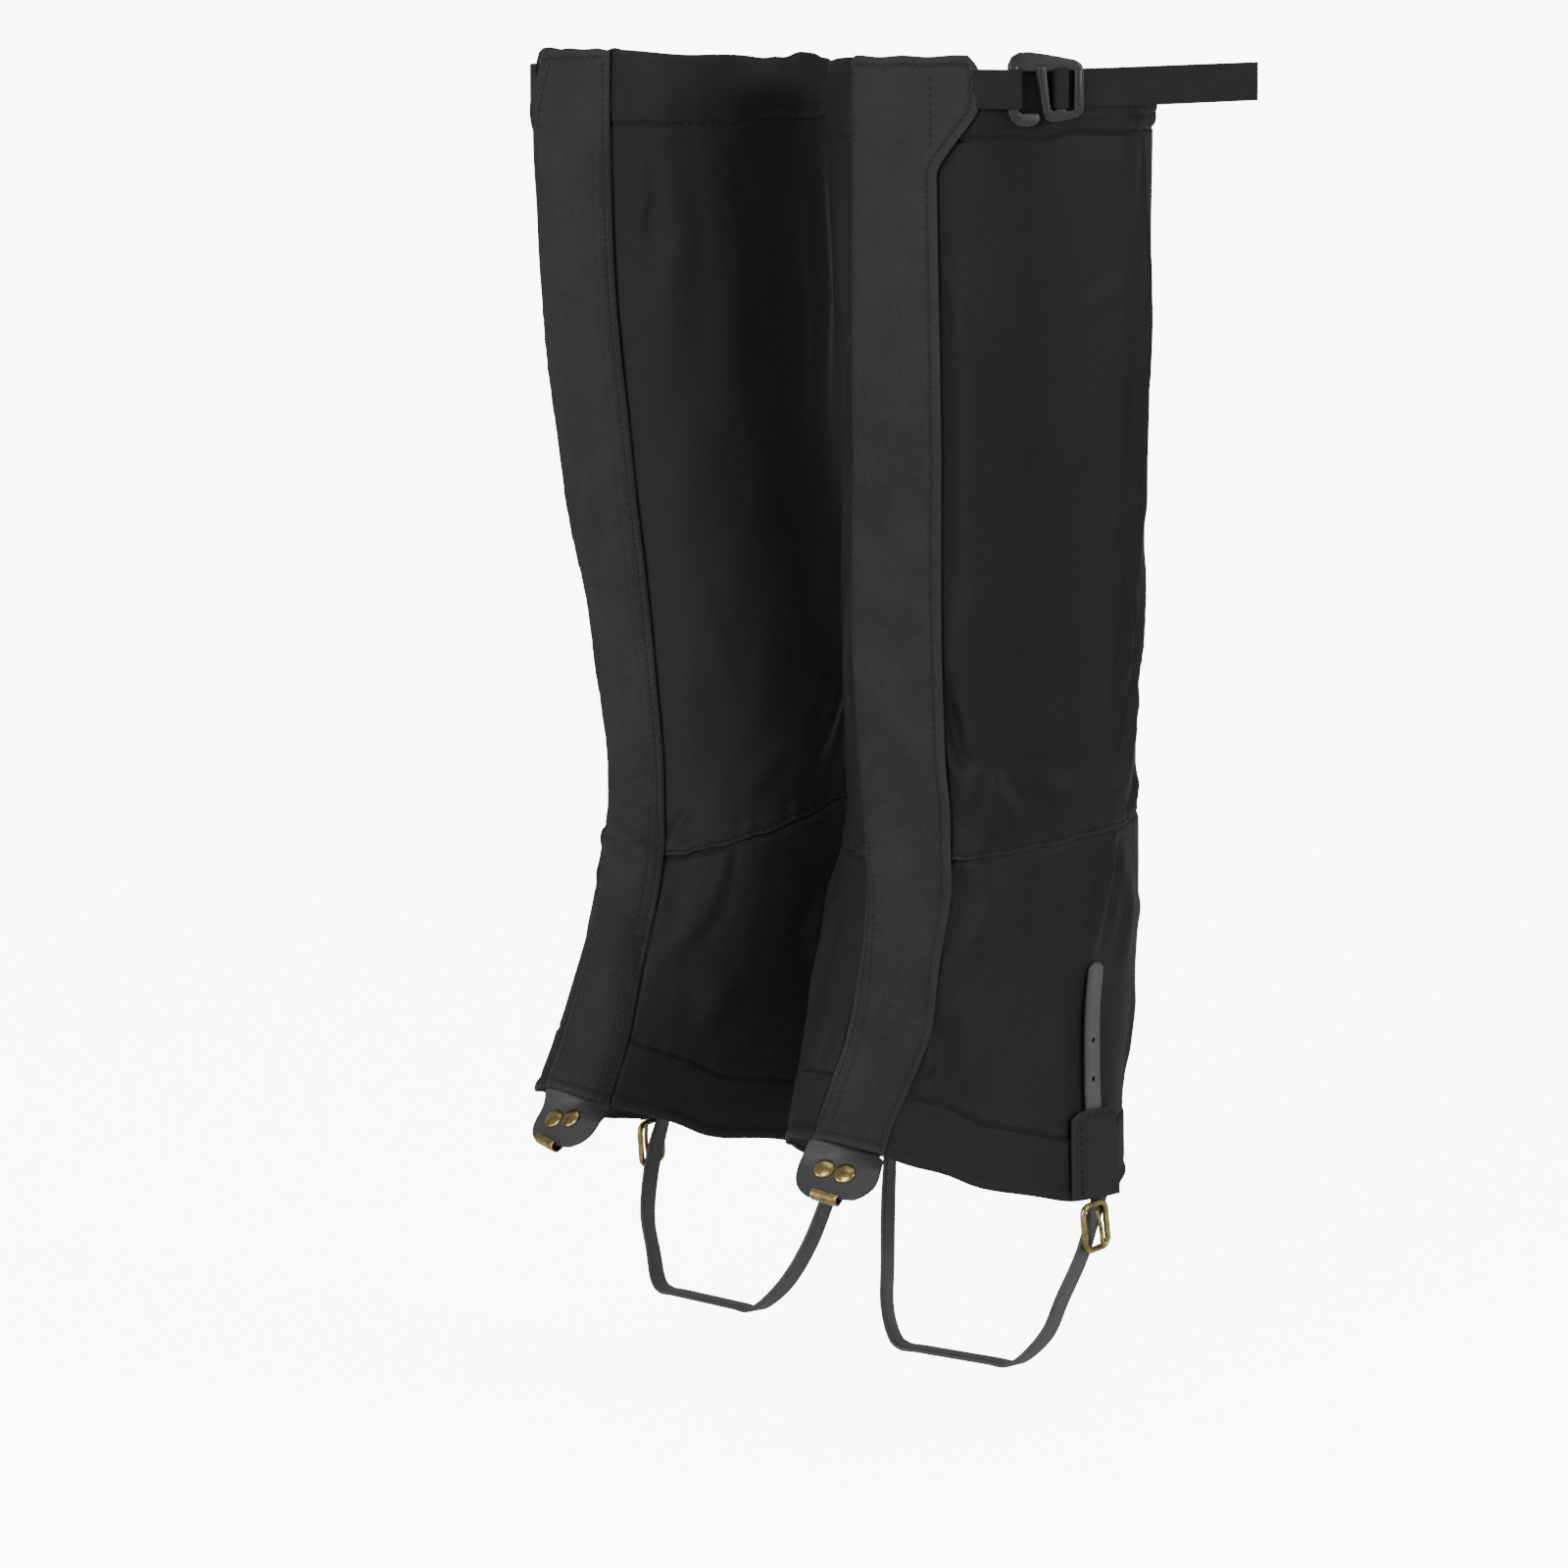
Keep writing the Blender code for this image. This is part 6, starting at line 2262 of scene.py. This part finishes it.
@dataclass(frozen=True)
class FootStrap(Part):
    """The coated strap under the sole, the patches that hold it and its small buckle."""
    outer_angle: float = 93.8
    outer_width: float = 21.5
    patch_shift: float = 2.8
    inner_angle: float = -97.0
    inner_width: float = 20.0
    width: float = 8.7
    wall: float = 2.0
    outer_heights: Row = (186.0, 168.0, 150.0, 134.0, 118.0, 104.0, 93.0)
    inner_heights: Row = (93.0, 104.0, 116.0)
    patch_top: float = 127.0
    anchor_top: float = 121.0
    hole_heights: Row = (154.0, 138.5)
    frame_shift: float = -6.4
    frame_lean: float = -0.14
    frame_turn: float = 0.05
    frame_wire: float = 1.3
    prong_wire: float = 0.85
    frame_half_width: float = 6.7
    frame_low: float = -19.5
    frame_high: float = -1.5
    sole_route: tuple[Row, ...] = (
        (52.4, 3.4, 80.0, 0.20), (51.0, 8.0, 68.0, 0.34), (46.5, 14.0, 52.0, 0.45), (41.0, 16.0, 38.0, 0.40),
        (33.0, 20.5, 27.5, 0.16), (26.0, 22.0, 24.0, 0.0), (16.0, 22.0, 24.0, 0.0), (-16.0, 22.0, 24.0, 0.0),
        (-26.0, 22.0, 24.0, 0.0), (-33.0, 20.5, 27.5, 0.16), (-41.0, 15.0, 38.0, 0.40), (-46.5, 7.5, 54.0, 0.35),
        (-51.5, 0.5, 76.0, 0.12),
    )

    def route(self) -> tuple[list[Array], list[Array]]:
        """Places along the strap, and the direction of its width at each.

        Returns:
            The places in metres, and directions of length 1.
        """
        leg, face = self.leg, HEM_FACE + 0.3 + self.wall
        seats = [Seat.on(leg, self.outer_angle, height, face) for height in self.outer_heights]
        places, widths = [seat.origin for seat in seats], [seat.along for seat in seats]
        for out, forward, height, lean in self.sole_route:
            here, behind = leg.turned(out, forward, height), leg.turned(out, forward - 1, height)
            places.append((here - HOLD) * MM)
            widths.append(unit(unit(behind - here) - np.array((0, 0, lean))))
        seats = [Seat.on(leg, self.inner_angle, height, face) for height in self.inner_heights]
        return places + [seat.origin for seat in seats], widths + [-seat.along for seat in seats]

    def strap(self, finish: Wardrobe) -> None:
        """Builds the strap with its round tip and its punched holes.

        Args:
            finish: the materials.
        """
        places, widths = self.route()
        radius = self.width / 2
        path, halves = dense_path(places, 24), unit(dense_path(widths, 24)) * self.width / 2 * MM
        near = np.clip(radius - run_along(path), 0, radius)
        halves = halves * np.maximum(np.sqrt(np.maximum(1 - (near / radius) ** 2, 0)), 0.12)[:, None]
        obj = strip(f"{self.leg.name}_sole_strap", path, halves, self.leg.side, self.wall, 0.9)
        for height in self.hole_heights:
            seat = Seat.on(self.leg, self.outer_angle, height, HEM_FACE + 0.3)
            punch = turned_piece("punch", ((1.15, -1.0), (1.15, 3.4)), 20)
            combine(obj, put(punch, "punch", seat.matrix()), "DIFFERENCE")
        keep(obj, finish[Look.STRAP], Slot.STRAP, "foot_strap")

    def small_buckle(self, brass: Material) -> None:
        """Models the wire frame and its prong.

        Args:
            brass: their material.
        """
        leg, low, high = self.leg, self.frame_low, self.frame_high
        seat = Seat.on(leg, self.outer_angle, leg.hem_height(self.outer_angle), HEM_FACE + 4.0)
        upward = unit(seat.upward + np.array((0, 0, 0.2)) + seat.along * self.frame_lean)
        along = unit(seat.along - seat.outward * self.frame_turn)
        along = unit(along - upward * float(along @ upward))
        seat = Seat(seat.origin + seat.along * self.frame_shift * MM, along, upward,
                    unit(np.cross(along, upward)) * leg.side)
        outline = rounded_box(-self.frame_half_width, self.frame_half_width, low, high, 3.6, 8)
        points = [seat.place(x, y, 0.0) for x, y in outline]
        keep(bent_wire(f"{leg.name}_wire_frame", points, self.frame_wire, True), brass, Slot.BRASS, "prong_frame")
        route = ((-0.4, high - 2.0, 1.9), (-0.3, high - 6.0, 2.5), (0.0, -12.0, 2.9), (0.4, low, 2.5))
        points = dense_path([seat.place(*place) for place in route], 6)
        keep(bent_wire(f"{leg.name}_wire_prong", points, self.prong_wire, False), brass, Slot.BRASS, "prong")

    def build(self, finish: Wardrobe) -> None:
        """Builds everything of the foot strap.

        Args:
            finish: the materials.
        """
        self.strap(finish)
        Patch(self.leg, "outer_patch", "keeper_patch", self.outer_angle + self.patch_shift, self.outer_width,
              self.patch_top, self.wall).build(finish)
        Patch(self.leg, "inner_patch", "anchor_patch", self.inner_angle, self.inner_width, self.anchor_top,
              self.wall).build(finish)
        self.small_buckle(finish[Look.BRASS])


# -------- stage

@dataclass(frozen=True)
class Stage:
    """The floor, the lights and the camera."""
    floor_size: float = 60.0
    floor_height: float = -HOLD_HEIGHT * MM
    surround: float = 0.42
    backdrop: float = 10.0
    soft_boxes: tuple[tuple[str, Spot, Spot, float, float], ...] = (
        ("key", (1.0, -2.65, 0.95), (0.0, 0.0, -0.25), 1.4, 54.0),
        ("low", (-0.22, -0.78, -0.38), (-0.08, -0.05, -0.41), 0.35, 1.6),
        ("side", (2.65, 0.95, 0.6), (0.05, 0.0, -0.25), 0.5, 32.0),
        ("over", (0.0, 0.2, 2.6), (0.0, 0.0, -0.5), 2.4, 20.0),
    )
    camera_place: Spot = (1.9092, -1.9092, 0.100)
    heading: float = 45.741
    dip: float = 8.115
    focal_pixels: float = 6885.0
    picture_pixels: float = 1600.0
    film_width: float = 36.0

    @staticmethod
    def stand(name: str, data: bpy.types.ID, place: Spot, aim: Vector) -> Piece:
        """Sets up a light or a camera that looks along a direction.

        Args:
            name: its name.
            data: the light or the camera.
            place: where it stands.
            aim: the direction.

        Returns:
            The object.
        """
        obj = bpy.data.objects.new(name, data)
        bpy.context.scene.collection.objects.link(obj)
        obj.location = place
        obj.rotation_euler = aim.to_track_quat("-Z", "Y").to_euler()
        return obj

    def floor(self, effects: Effects) -> None:
        """Adds the floor, a plane primitive.

        Args:
            effects: the shared node groups.
        """
        select_only()
        bpy.ops.mesh.primitive_plane_add(size=self.floor_size)
        floor = bpy.context.active_object
        floor.name = floor.data.name = "floor"
        floor.data.transform(Matrix.Translation((0, 0, self.floor_height)))
        finish = FloorFinish("pale_floor", (0.8865, 0.8865, 0.8865), (0.90, 0.90, 0.90), 9.0)
        floor.data.materials.append(finish.material(effects))

    def lights(self) -> None:
        """Adds the soft boxes and the pale surround, brighter to the eye than the light it gives."""
        world = bpy.data.worlds.new("pale_surround")
        world.use_nodes = True
        sheet = NodeSheet(world.node_tree)
        background = world.node_tree.nodes["Background"]
        background.inputs[0].default_value = WHITE
        background.inputs[1].default_value = self.surround
        bright = sheet.node("ShaderNodeBackground", {"Color": WHITE, "Strength": self.backdrop})
        sheet.seen_apart(background.outputs[0], bright.outputs[0], "World Output")
        bpy.context.scene.world = world
        for name, place, target, size, power in self.soft_boxes:
            data = bpy.data.lights.new(name, "AREA")
            data.shape, data.size, data.energy = "SQUARE", size, power
            self.stand(name, data, place, Vector(target) - Vector(place))

    def camera(self) -> None:
        """Adds the camera at the photograph's place."""
        data = bpy.data.cameras.new("camera")
        data.sensor_width, data.sensor_fit = self.film_width, "HORIZONTAL"
        data.lens = self.focal_pixels / self.picture_pixels * self.film_width
        data.clip_end = 200.0
        a, p = math.radians(self.heading), math.radians(self.dip)
        forward = Vector((-math.sin(a) * math.cos(p), math.cos(a) * math.cos(p), -math.sin(p)))
        bpy.context.scene.camera = self.stand("camera", data, self.camera_place, forward)


LEFT = LegForm(
    "left", 1, 8.0, 9.0,
    (18.0, 18.5, 22.0, 24.5, 21.5, 16.5, 9.0, 5.5, 4.5, 4.0, 3.5, 6.0, 7.5, 7.5),
    (31.0, 31.0, 32.0, 32.0, 33.0, 38.0, 44.0, 47.0, 47.0, 46.0, 44.5, 41.0, 38.0, 38.0),
    17.5, 25.0, (2.2, 3.2), 0.0, 64.3, ((((99, 500), (103, 440), (106, 370)), 2.2, 14.0),),
    LEFT_CREASES, LEFT_LOW_CREASES, LEFT_FLAP_CREASES, 3,
)
RIGHT = LegForm(
    "right", -1, 0.0, 22.0,
    (-15.5, -15.0, -13.0, -9.5, -5.0, 1.0, 7.5, 10.0, 10.5, 7.5, 4.5, 2.5, 0.5, 0.0),
    (31.0, 31.0, 32.0, 32.0, 33.0, 37.0, 43.0, 46.0, 47.0, 46.0, 44.5, 41.0, 38.0, 38.0),
    -15.5, 1.0, (2.0, -0.4), 5.0, 75.0,
    ((((34, 300), (35, 262)), -4.6, 40.0), (((24, 542), (42, 541), (62, 539), (84, 536)), -7.6, 19.0)),
    RIGHT_CREASES, RIGHT_LOW_CREASES, RIGHT_FLAP_CREASES, 8,
)


def main() -> None:
    """Builds the stage and both gaiters."""
    logging.basicConfig(level=logging.INFO, format="%(name)s: %(message)s")
    effects = Effects()
    stage = Stage()
    stage.floor(effects)
    stage.lights()
    stage.camera()
    finish = {look: look.value.material(effects) for look in Look}
    for leg in (LEFT, RIGHT):
        LOG.info("%s gaiter", leg.name)
        for part in (LegCloth, AnkleCloth, FrontFlap, ClosureTape, TopStrap, LaceTab, FootStrap):
            part(leg).build(finish)


if __name__ == "__main__":
    main()
